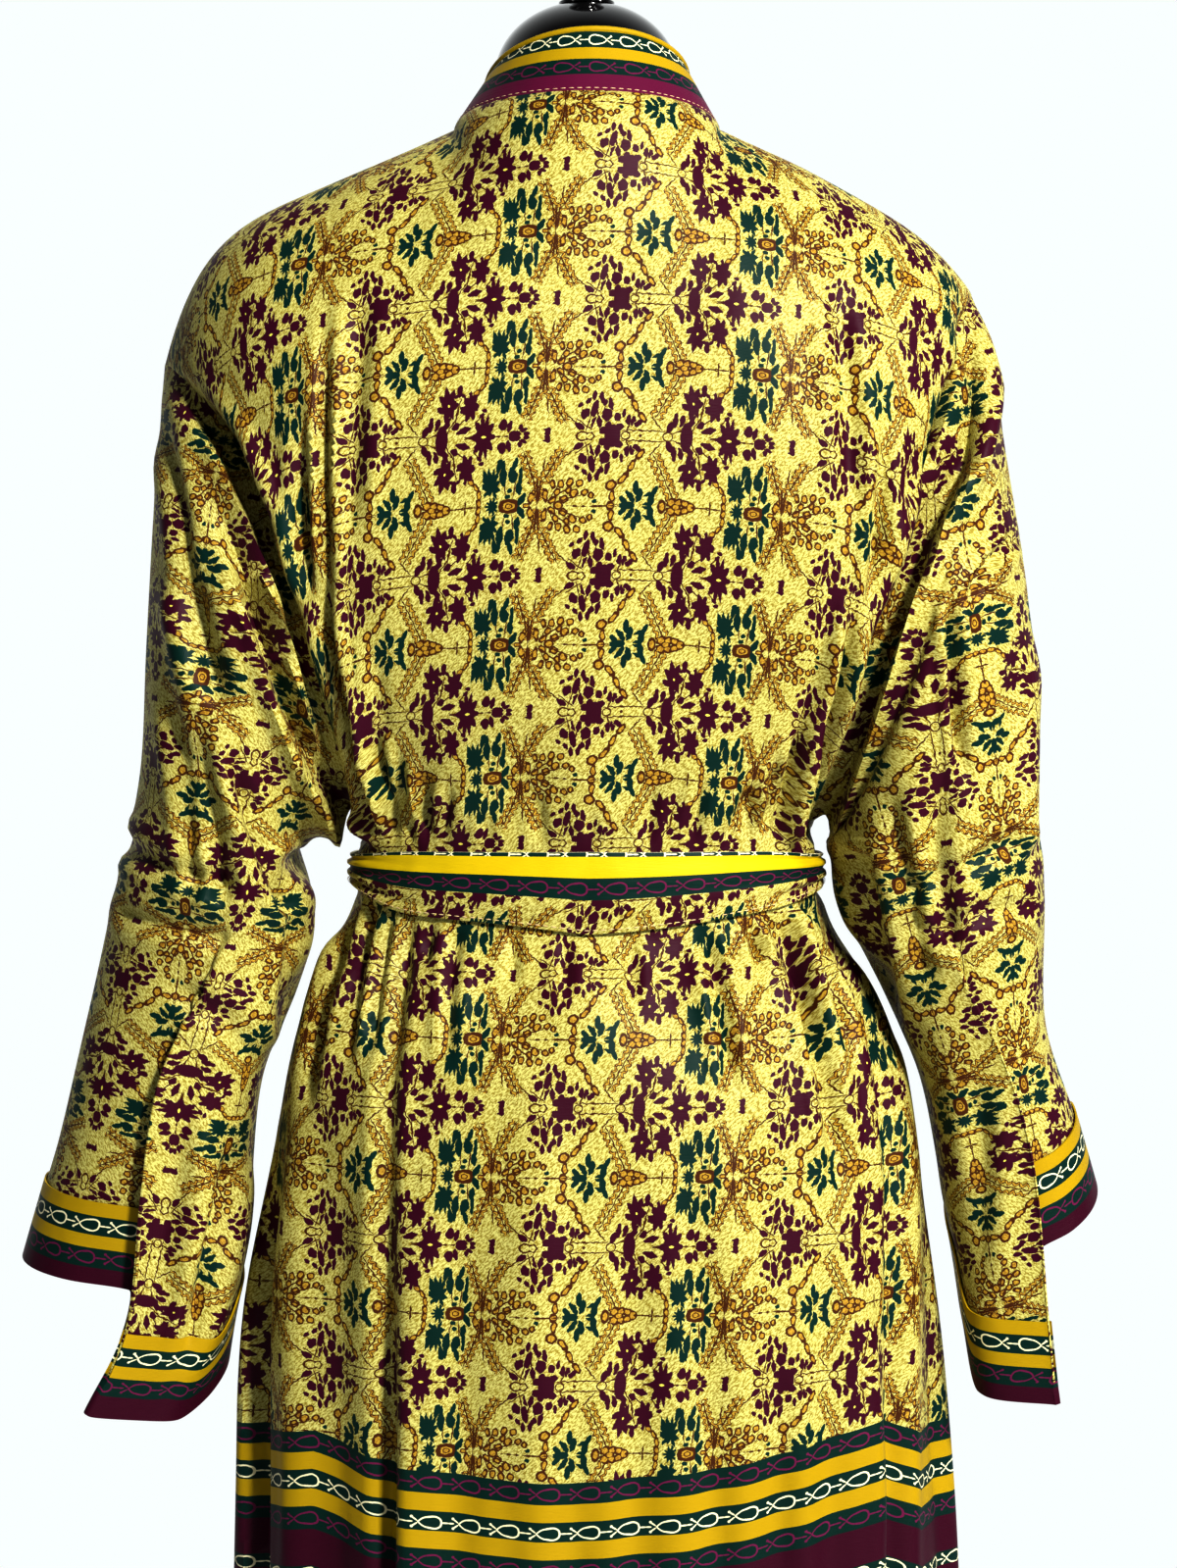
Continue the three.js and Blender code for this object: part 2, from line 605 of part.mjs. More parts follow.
// A closed wall of even thickness about a grid of points
function wallGeometry({ grid, normals, closed, flip }, thickness) {
  const rows = grid.length;
  const columns = grid[0].length;
  const positions = [];
  for (const side of [1, -1]) {
    grid.forEach((line, i) =>
      line.forEach((point, j) => {
        const place = point.clone().addScaledVector(normals[i][j], (side * thickness) / 2);
        positions.push(place.x, place.y, place.z);
      }),
    );
  }
  const outer = (i, j) => i * columns + (j % columns);
  const inner = (i, j) => rows * columns + outer(i, j);
  const faces = [];
  const quad = (a, b, c, d) => {
    if (flip) faces.push(a, c, b, a, d, c);
    else faces.push(a, b, c, a, c, d);
  };
  const spans = closed ? columns : columns - 1;
  for (let i = 0; i < rows - 1; i += 1) {
    for (let j = 0; j < spans; j += 1) {
      const next = (j + 1) % columns;
      const rising = grid[i][j].distanceTo(grid[i + 1][next]);
      const falling = grid[i][next].distanceTo(grid[i + 1][j]);
      const outside = [outer(i, j), outer(i, j + 1), outer(i + 1, j + 1), outer(i + 1, j)];
      const inside = [inner(i, j), inner(i + 1, j), inner(i + 1, j + 1), inner(i, j + 1)];
      for (const [a, b, c, d] of [outside, inside]) {
        // The shorter diagonal bends the cloth less
        if (rising <= falling) quad(a, b, c, d);
        else quad(b, c, d, a);
      }
    }
  }
  for (let j = 0; j < spans; j += 1) {
    quad(outer(0, j + 1), outer(0, j), inner(0, j), inner(0, j + 1));
    quad(outer(rows - 1, j), outer(rows - 1, j + 1), inner(rows - 1, j + 1), inner(rows - 1, j));
  }
  if (!closed) {
    for (let i = 0; i < rows - 1; i += 1) {
      quad(outer(i, 0), outer(i + 1, 0), inner(i + 1, 0), inner(i, 0));
      const end = columns - 1;
      quad(outer(i + 1, end), outer(i, end), inner(i, end), inner(i + 1, end));
    }
  }
  const geometry = new THREE.BufferGeometry();
  geometry.setAttribute('position', new THREE.Float32BufferAttribute(positions, 3));
  geometry.setIndex(faces);
  return geometry;
}

// The body panels, sleeves and neckband, sewn edge to edge
function sewnSurfaces() {
  const surfaces = {
    back: { grid: backGrid(), seams: { first: true, last: true, head: true } },
    front_left: { grid: frontGrid(-1), flip: true, seams: { first: true, last: true, head: true } },
    front_right: { grid: frontGrid(1), seams: { first: true, last: true, head: true } },
    sleeve_left: { grid: sleeveGrid('left'), closed: true, flip: true, seams: { foot: true } },
    sleeve_right: { grid: sleeveGrid('right'), closed: true, seams: { foot: true } },
  };
  surfaces.neckband = { grid: neckbandGrid(surfaces), seams: { first: true } };
  for (const surface of Object.values(surfaces)) {
    surface.normals = gridNormals(surface);
  }
  shareNormals(surfaces);
  return surfaces;
}

// Cuff band: the last rows of a sleeve, moved out to lie on it
function cuffSurface(sleeve) {
  const from = sleeve.grid.length - 1 - CUFF_STEPS;
  const lift = (CLOTH + BAND_CLOTH) / 2 + SEAM_GAP;
  const normals = sleeve.normals.slice(from);
  const grid = sleeve.grid
    .slice(from)
    .map((line, i) => line.map((point, j) => point.clone().addScaledVector(normals[i][j], lift)));
  return { grid, normals, closed: true, flip: sleeve.flip };
}

// A place on the skirt or waist given by its height, moved out from the cloth
function outsidePoint(face, t, z, out) {
  const layer = face === 'front' ? 1 : 0;
  const point = ringPoint(face, t, z);
  const lap = (layer * FRONT_LAYERS * lapShare(t, z)) / 2;
  const shift = foldShift(face, t, z) + lap + out;
  point.x += shift * Math.sin(t * QUARTER);
  point.y += shift * (face === 'back' ? -1 : 1) * Math.cos(t * QUARTER);
  return point;
}

// Sash: one band round the waist, wide at the centre back and drawn narrow at the sides
function sashSurface() {
  const columns = [];
  const backColumns = 2 * SHOULDER_COLUMNS + NECK_COLUMNS;
  for (let column = 0; column < backColumns; column += 1) {
    columns.push({ face: 'back', t: backT(column) });
  }
  for (let column = 0; column < SASH_COLUMNS; column += 1) {
    columns.push({ face: 'front', t: 1 - (2 * column) / SASH_COLUMNS });
  }
  const grid = [0, 1, 2].map((step) =>
    columns.map(({ face, t }) => {
      const table = face === 'back' ? SASH_BACK : SASH_FRONT;
      const half = readTable(table, 't', 'half', Math.abs(t));
      const head = readTable(table, 't', 'head', Math.abs(t));
      const clear = mix(SASH_CLEAR[face], SASH_CLEAR.back, smooth(SASH_CLEAR.from, 1, Math.abs(t)));
      return outsidePoint(face, t, head - (2 - step) * half, clear);
    }),
  );
  return { grid, closed: true };
}

function tailSurface(tail) {
  const grid = [];
  for (let row = 0; row <= TAIL_ROWS; row += 1) {
    const share = row / TAIL_ROWS;
    const z = TAIL.head - tail.length * share;
    const width = mix(TAIL.topWidth, TAIL.width, smooth(0, TAIL.spread, share));
    const middle = mix(tail.topT, tail.footT, smooth(0, TAIL.spread, share));
    const halfT = Math.asin(width / 2 / readTable(RINGS, 'z', 'left', z)) / QUARTER;
    const proud = TAIL.proud + TAIL.topProud * Math.exp((-tail.length * share) / TAIL.fall);
    grid.push([-1, 0, 1].map((step) => outsidePoint('front', middle + step * halfT, z, proud)));
  }
  return { grid };
}

function knotGeometry() {
  const geometry = new THREE.SphereGeometry(1, 14, 10);
  geometry.scale(KNOT.wide, KNOT.deep, KNOT.tall);
  const waist = readTable(RINGS, 'z', 'front', KNOT.z) + FRONT_LAYERS / 2;
  const y = waist + SASH_CLEAR.front + SASH_CLOTH / 2 + SEAM_GAP + KNOT.deep;
  geometry.translate(0, y, KNOT.z);
  return geometry;
}

// Dress form: level rings closed by a flat foot and a rounded neck
function formGeometry() {
  const rings = [];
  const addRing = (z, half, back, front, power) => {
    const ring = [];
    for (let column = 0; column < FORM_COLUMNS; column += 1) {
      const angle = (column / FORM_COLUMNS) * 2 * Math.PI;
      const bend = (value) => Math.sign(value) * Math.pow(Math.abs(value), 2 / power);
      const depth = Math.sin(angle) < 0 ? back : front;
      ring.push(new THREE.Vector3(half * bend(Math.cos(angle)), depth * bend(Math.sin(angle)), z));
    }
    rings.push(ring);
  };
  FORM_RINGS.forEach((ring) => addRing(ring.z, ring.half, ring.back, ring.front, ring.power));
  for (let step = 0; step <= NECK.steps; step += 1) {
    const angle = (step / NECK.steps) * NECK.end * DEGREE;
    const radius = NECK.radius * Math.cos(angle);
    const z = NECK.side + NECK.dome * Math.sin(angle);
    addRing(z, radius, radius - NECK.middle, radius + NECK.middle, 2);
  }
  return closedStack(rings);
}

// A solid through a stack of rings, closed by a point in the middle of each end
function closedStack(rings) {
  const columns = rings[0].length;
  const positions = rings.flat().flatMap((point) => [point.x, point.y, point.z]);
  const faces = [];
  for (let i = 0; i < rings.length - 1; i += 1) {
    for (let j = 0; j < columns; j += 1) {
      const a = i * columns + j;
      const b = i * columns + ((j + 1) % columns);
      faces.push(a, b, b + columns, a, b + columns, a + columns);
    }
  }
  const caps = [rings[0], rings[rings.length - 1]];
  caps.forEach((ring, cap) => {
    const middle = ring.reduce((sum, point) => sum.add(point), new THREE.Vector3());
    middle.divideScalar(columns);
    const centre = positions.length / 3;
    positions.push(middle.x, middle.y, middle.z);
    const start = cap === 0 ? 0 : (rings.length - 1) * columns;
    for (let j = 0; j < columns; j += 1) {
      const a = start + j;
      const b = start + ((j + 1) % columns);
      if (cap === 0) faces.push(centre, b, a);
      else faces.push(centre, a, b);
    }
  });
  const geometry = new THREE.BufferGeometry();
  geometry.setAttribute('position', new THREE.Float32BufferAttribute(positions, 3));
  geometry.setIndex(faces);
  return geometry;
}

// A turned piece about the vertical axis, from (radius, height) pairs
function turned(pairs, segments) {
  const profile = pairs.map(([radius, height]) => new THREE.Vector2(radius, height));
  const geometry = new THREE.LatheGeometry(profile, segments);
  geometry.rotateX(QUARTER);
  return geometry;
}

function knobGeometry() {
  const foot = NECK.side + NECK.dome * Math.sin(NECK.end * DEGREE) + SEAM_GAP;
  const ballMiddle = foot + KNOB.height - KNOB.ball;
  const pairs = [[0, foot], [KNOB.foot, foot], [KNOB.waist, foot + KNOB.waistHeight]];
  for (let step = 0; step <= KNOB.steps; step += 1) {
    const angle = mix(-50, 90, step / KNOB.steps) * DEGREE;
    const radius = step === KNOB.steps ? 0 : KNOB.ball * Math.cos(angle);
    pairs.push([radius, ballMiddle + KNOB.ball * Math.sin(angle)]);
  }
  const geometry = turned(pairs, 20);
  geometry.translate(0, NECK.middle, 0);
  return geometry;
}

const BASE_PROFILE = [
  [0, 0],
  [BASE.radius, 0],
  [BASE.radius, BASE.rim],
  [BASE.radius * 0.97, BASE.rim + 3],
  [BASE.radius * 0.6, BASE.dome * 0.8],
  [BASE.hub * 1.5, BASE.dome],
  [BASE.hub, BASE.dome + 8],
  [BASE.hub * 0.75, POLE.foot],
  [0, POLE.foot],
];

const POLE_PROFILE = [
  [0, POLE.foot + SEAM_GAP],
  [POLE.radius, POLE.foot + SEAM_GAP],
  [POLE.radius, FORM_RINGS[0].z - SEAM_GAP],
  [0, FORM_RINGS[0].z - SEAM_GAP],
];

const MATERIALS = {
  print: { color: 0xc9a63a, roughness: 0.55, metalness: 0 },
  band: { color: 0x4a1530, roughness: 0.5, metalness: 0 },
  sash: { color: 0xb98f22, roughness: 0.5, metalness: 0 },
  form: { color: 0x101012, roughness: 0.18, metalness: 0 },
  metal: { color: 0x2a2b2e, roughness: 0.3, metalness: 0.8 },
};

const model = new THREE.Group();

function addPiece(name, geometry, material) {
  const mesh = new THREE.Mesh(geometry, new THREE.MeshStandardMaterial(MATERIALS[material]));
  mesh.name = name;
  model.add(mesh);
}

const sewn = sewnSurfaces();
const cuffs = {
  cuff_left: cuffSurface(sewn.sleeve_left),
  cuff_right: cuffSurface(sewn.sleeve_right),
};
for (const [name, surface] of Object.entries(sewn)) {
  pullBack(surface);
  addPiece(name, wallGeometry(surface, CLOTH), name === 'neckband' ? 'band' : 'print');
}
for (const [name, surface] of Object.entries(cuffs)) {
  addPiece(name, wallGeometry(surface, BAND_CLOTH), 'band');
}

function addSashPiece(name, surface) {
  const ready = { ...surface, normals: gridNormals(surface) };
  addPiece(name, wallGeometry(ready, SASH_CLOTH), 'sash');
}

addSashPiece('sash', sashSurface());
for (const tail of TAILS) {
  addSashPiece(tail.name, tailSurface(tail));
}
addPiece('sash_knot', knotGeometry(), 'sash');
addPiece('form_torso', formGeometry(), 'form');
addPiece('form_knob', knobGeometry(), 'metal');
addPiece('stand_pole', turned(POLE_PROFILE, 16), 'metal');
addPiece('stand_base', turned(BASE_PROFILE, 40), 'metal');

export default model;
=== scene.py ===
"""Kimono robe with its sash on a black dress form, seen from behind."""
import math

import bpy
import numpy as np
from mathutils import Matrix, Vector
from mathutils.kdtree import KDTree


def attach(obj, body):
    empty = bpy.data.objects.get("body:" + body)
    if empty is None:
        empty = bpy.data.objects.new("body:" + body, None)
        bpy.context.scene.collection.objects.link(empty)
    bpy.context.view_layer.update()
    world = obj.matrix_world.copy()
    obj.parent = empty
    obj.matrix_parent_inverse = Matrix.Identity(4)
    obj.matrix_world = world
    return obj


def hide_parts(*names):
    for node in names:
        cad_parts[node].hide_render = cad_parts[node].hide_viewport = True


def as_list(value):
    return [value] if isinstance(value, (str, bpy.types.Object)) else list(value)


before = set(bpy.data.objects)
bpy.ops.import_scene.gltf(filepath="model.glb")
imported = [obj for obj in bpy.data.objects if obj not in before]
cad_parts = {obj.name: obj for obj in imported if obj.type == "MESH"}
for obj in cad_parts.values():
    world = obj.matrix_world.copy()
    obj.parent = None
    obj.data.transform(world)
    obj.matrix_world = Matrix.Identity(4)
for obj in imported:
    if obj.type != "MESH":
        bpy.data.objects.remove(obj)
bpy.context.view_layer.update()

# All shapes are worked out in millimetres and placed in metres
MM = 0.001
QUARTER, FULL = math.pi / 2, 2 * math.pi


def add_object(name, data):
    piece = bpy.data.objects.new(name, data)
    bpy.context.scene.collection.objects.link(piece)
    return piece


# Camera: square to the back, a little above the sash
LENS, SENSOR, PICTURE_WIDE, HORIZON = 99, 36, 1200, 149.5  # the last two in pixels
camera_data = bpy.data.cameras.new("camera")
camera_data.sensor_fit = "HORIZONTAL"
camera_data.sensor_width, camera_data.lens = SENSOR, LENS
camera = add_object("camera", camera_data)
camera.location = (0.001, -1.75, 1.1)
camera.rotation_euler = (QUARTER - math.atan(HORIZON * SENSOR / (LENS * PICTURE_WIDE)), 0, 0)
bpy.context.scene.camera = camera

# Cloth of the shown shells
CLOTH = 1.0
BAND_CLOTH = 0.9
SASH_CLOTH = 1.4
SHELL_LIFT = 1.7  # cuff band off the sleeve's cloth
FRONT_LAYERS = 3.4  # between the middles of both fronts where they lap
BAND_WIDTH = 44
ROLL = 1.6  # radius of the neckband's rolled edge

# How finely the cloth is divided
SKIRT_ROWS = 140
YOKE_ROWS = 98
SIDE_COLUMNS = 66
NECK_COLUMNS = 32
BAND_COLUMNS = 12
ROLL_COLUMNS = 10
SLEEVE_COLUMNS = 2 * YOKE_ROWS
SLEEVE_STEP = 3.5
CUFF_ROWS = 12
SASH_ROWS, SASH_COLUMNS, SASH_PLEATS, SASH_WIDTH = 28, 150, 3, 42
TAIL_ROWS, TAIL_COLUMNS = 110, 20
KNOT_COLUMNS = 96
FORM_COLUMNS = 128

# Heights, and the rows that the shape's tables are written for. Round the body, t is 0 in
# the middle of a face, -1 at the left side seam and 1 at the right one
HEM, SASH_FOOT, SASH_HEAD, UNDERARM, BLADE = 448, 946, 990, 996, 1190
LOWER_ROWS, ARM_ROWS, PLAIN_ROWS, ROW_CROWDING = 20, 14, 16, 1.35
NECK_T = 0.2

# The body's rings by height: how far its sides and faces stand off the middle
RING_Z = [448, 600, 700, 790, 860, 915, 946, 957, 968, 990, 996]
RINGS = {
    "left": [196, 191, 186, 175, 163, 147, 131, 126, 123, 123, 124],
    "right": [207, 202, 195, 183, 171, 149, 131, 126, 123, 123, 124],
    "back": [126, 124, 122, 119, 111, 94, 78, 78, 78, 78, 79],
    "front": [124, 122, 119, 115, 108, 95, 82, 82, 82, 82, 83],
}
RING_ROUND = 0.8  # below 1 a ring is fuller than an oval
WAIST_HALF = 124  # half the waist's width under the sash
WAY = {"back": -1, "front": 1}  # the way that a face looks along y
BODY = ("back", "front_left", "front_right")
YOKE = {"back": (110, 72), "front": (118, 75)}  # depth in the middle and at the armhole
YOKE_ROUND, NECK_ROUND, NECK_CIRCULAR, TOP_OWN = 0.6, 0.6, 0.25, 0.4
NECK_OUT, NECK_Z, NECK_SOFT = 70, 1371, 0.3  # where the shoulders meet the neck; softening as t
NECK_LINE = {"back": (72.5, 10), "front": (66, -49)}  # depth, and rise in the middle
# Upper edge of the neckband behind the neck, and the share of the yoke where it starts to stand
COLLAR = dict(out=53, front=4, back=52, side=1397, rise=20, tilt=3.5, standing=0.68)
EDGE_STEPS, EDGE_STEP = 100, 0.004  # measuring steps from the fronts' edge under the neckband
# The fronts' edges: how far past the middle, as t, by the way up to 1 (underarm) and 2 (top)
EDGE_WAY = [0, 0.9, 1, 1.17, 1.33, 1.5, 1.75, 2]
EDGE_T = [0.12, 0.06, -0.02, -0.13, -0.21, -0.25, -0.24, -0.2]
# Both fronts stand apart out to "whole", less from there to "none", and less from low to high
LAP = dict(whole=0.38, none=0.62, low=1190, high=1330)

# Sleeves: outer and inner end of each slanting ring with their heights, depth to the
# back and the front, bow towards the body, and how it narrows to its inner end. The hem's
# height and flare go by degrees round; slope and drop are the shoulder line's
SLEEVES = {
    "left": {
        "sections": [
            (227, 1246, 124, 996, 72, 75, 26, 1.3),
            (230, 1216, 141, 994, 84, 84, 12, 1.2),
            (234, 1165, 157, 984, 86, 84, 4, 1.1),
            (237, 1090, 150, 962, 80, 78, 0, 1),
            (241, 1020, 149, 940, 72, 70, 0, 0.9),
            (254, 965, 158, 908, 64, 64, 0, 0.85),
            (268, 900, 176, 862, 58, 58, 0, 0.85),
            (284, 831, 183, 800, 54, 54, 0, 0.85),
        ],
        "hem": (303, 0, 196, 0, 52, 52, 0, 0.85),
        "hem_turn": [0, 60, 99, 115, 146, 165, 180, 230, 300, 360],
        "hem_z": [766, 760, 755, 693, 686, 695, 708, 738, 758, 766],
        "flare": [0, 0, 0, 14, 13, 6, 0, 0, 0, 0],
        "slope": 0.45,
        "drop": 8.8,
    },
    "right": {
        "sections": [
            (205, 1283, 124, 996, 72, 75, 6, 1.3),
            (212, 1262, 136, 992, 84, 82, -6, 1.2),
            (222, 1213, 136, 984, 90, 86, 0, 1.1),
            (237, 1115, 136, 962, 84, 80, 0, 1),
            (243, 1030, 148, 936, 74, 72, 0, 0.9),
            (246, 960, 163, 906, 66, 66, 0, 0.85),
            (248, 892, 181, 864, 58, 58, 0, 0.85),
            (262, 848, 191, 818, 54, 54, 0, 0.85),
        ],
        "hem": (275, 0, 205, 0, 50, 50, 0, 0.85),
        "hem_turn": [0, 60, 99, 115, 150, 180, 230, 300, 360],
        "hem_z": [805, 786, 773, 697, 700, 732, 768, 795, 805],
        "flare": [0, 0, 0, 0, 0, 0, 0, 0, 0],
        "slope": 0.49,
        "drop": 6,
    },
}
ARM_ROUND = {"back": 0.85, "front": 0.75}
UNDERARM_ROUND = 1.3
# The pleat down the back of a sleeve: place round in degrees, size, and where it begins and
# is whole, in sections down the sleeve
PLEAT = dict(turn=113, width=12, lift=19, lap=24, start=3.5, whole=6.5, ebb=165, end=200, crest=0.9,
             crowd=2.4, crowd_width=18)  # the columns lie closer together at the pleat

# Folds below the sash: face, start and end as t, depth, and the height from which they grow
SKIRT_FOLDS = [
    ("back", -0.9, -0.36, 13, 850),
    ("back", 0.58, 0.93, 11, 840),
    ("back", -0.16, 0.02, 4, 760),
    ("back", 0.2, 0.36, 5, 800),
    ("front", -0.88, -0.5, 10, 830),
    ("front", 0.44, 0.86, 5, 850),
]
FOLD_SIDE, FOLD_RUN = 0.07, 180  # side of a fold as t, and its run down to the whole depth
# Small waves beside the sash, by the height off it: whole from "grown", gone at "reach"
GATHERS = dict(waves=6, depth=2.6, grown=24, fading=20, reach=75)

SASH_FACES = {  # round the waist from the middle to the side: half its width, height of its head
    "back": ([0, 0.5, 0.8, 1], [21, 16, 9.8, 7.6], [989, 988, 985, 983.5]),
    "front": ([0, 0.5, 1], [9, 9, 7.6], [983, 983, 983.5]),
}
SASH_WAVES = dict(askew=0.05, second=0.35, second_pleats=5, bulge=2.2, ripple=0.5, waver=0.9)
SASH_CLEAR = {"back": 2.3, "front": 4.6}
KNOT_CLEAR = 1.3  # gap to the sash
RIGHT_LOBE = 0.94  # height beside 1; the left lobe is as much higher
KNOT = dict(wide=25, deep=13, tall=20, z=972)
# The sash's hanging ends: name, length, and t at the head and the foot
TAILS = [("sash_tail_left", 372, -0.06, -0.17), ("sash_tail_right", 338, 0.06, 0.12)]
TAIL = dict(top=16, width=42, spread=0.25, head=952.5, tucked=3, proud=5.2, top_proud=10,
            fall=22, narrowed=3, sway=0.012, curl=2.6)

# The dress form's rings by height: half width, depth to the back and the front, and the
# power of their ovals
FORM_Z = [790, 800, 840, 880, 930, 968, 1040, 1090, 1150, 1205, 1245, 1275, 1298, 1312, 1323,
          1335, 1350, 1365, 1374, 1384, 1392]
FORM_HALF = [146, 152, 151, 141, 118, 109, 116, 127, 144, 162, 174, 179, 175, 167, 157, 137,
             107, 76, 59, 51, 49.5]
FORM_BACK = [88, 92, 93, 87, 74, 69, 74, 82, 88, 89, 86, 82, 76, 72, 69, 65, 59, 54, 51, 47, 45]
FORM_FRONT = [86, 90, 92, 89, 77, 72, 84, 96, 103, 99, 88, 77, 67, 60, 55, 51, 49, 50, 51, 53, 54]
FORM_POWER = [2.2, 2.2, 2.2, 2.2, 2.2, 2.2, 2.2, 2.2, 2.2, 2.1, 2, 2, 1.9, 1.8, 1.7, 1.6, 1.5,
              1.5, 1.7, 2, 2]
NECK_MIDDLE, NECK_RADIUS, NECK_SIDE, NECK_DOME, NECK_END = 4.5, 49.5, 1399, 41, math.radians(72)

SHELL_SHARP = 55  # degrees from which an edge of the cloth shows
FORM_GAP = 1.6
FLOOR_RADIUS = 1900
ROLL_STRIPE, ROLL_CLOTH = 41, 0.5

# Profiles of the turned pieces: radius and height
KNOB, KNOB_MIDDLE = 13.5, 26.5  # the ball
KNOB_NECK = [(13.4, 0.3), (15, 0.8), (15, 2.2), (13.2, 3.6), (11, 6), (9.6, 10), (9.3, 13)]
BASE = [(174, 0.2), (175, 1.2), (175, 6), (174, 7.4), (169.5, 9.6), (140, 13), (105, 16),
        (60, 18.6), (39, 20.4), (31, 23), (26.6, 27.6), (23.6, 34), (21.4, 44), (20.2, 54),
        (19.6, 58.8), (18.2, 60)]
POLE = [(12.2, 60.2), (12.5, 60.8), (12.5, 788.8), (12.2, 789.6)]

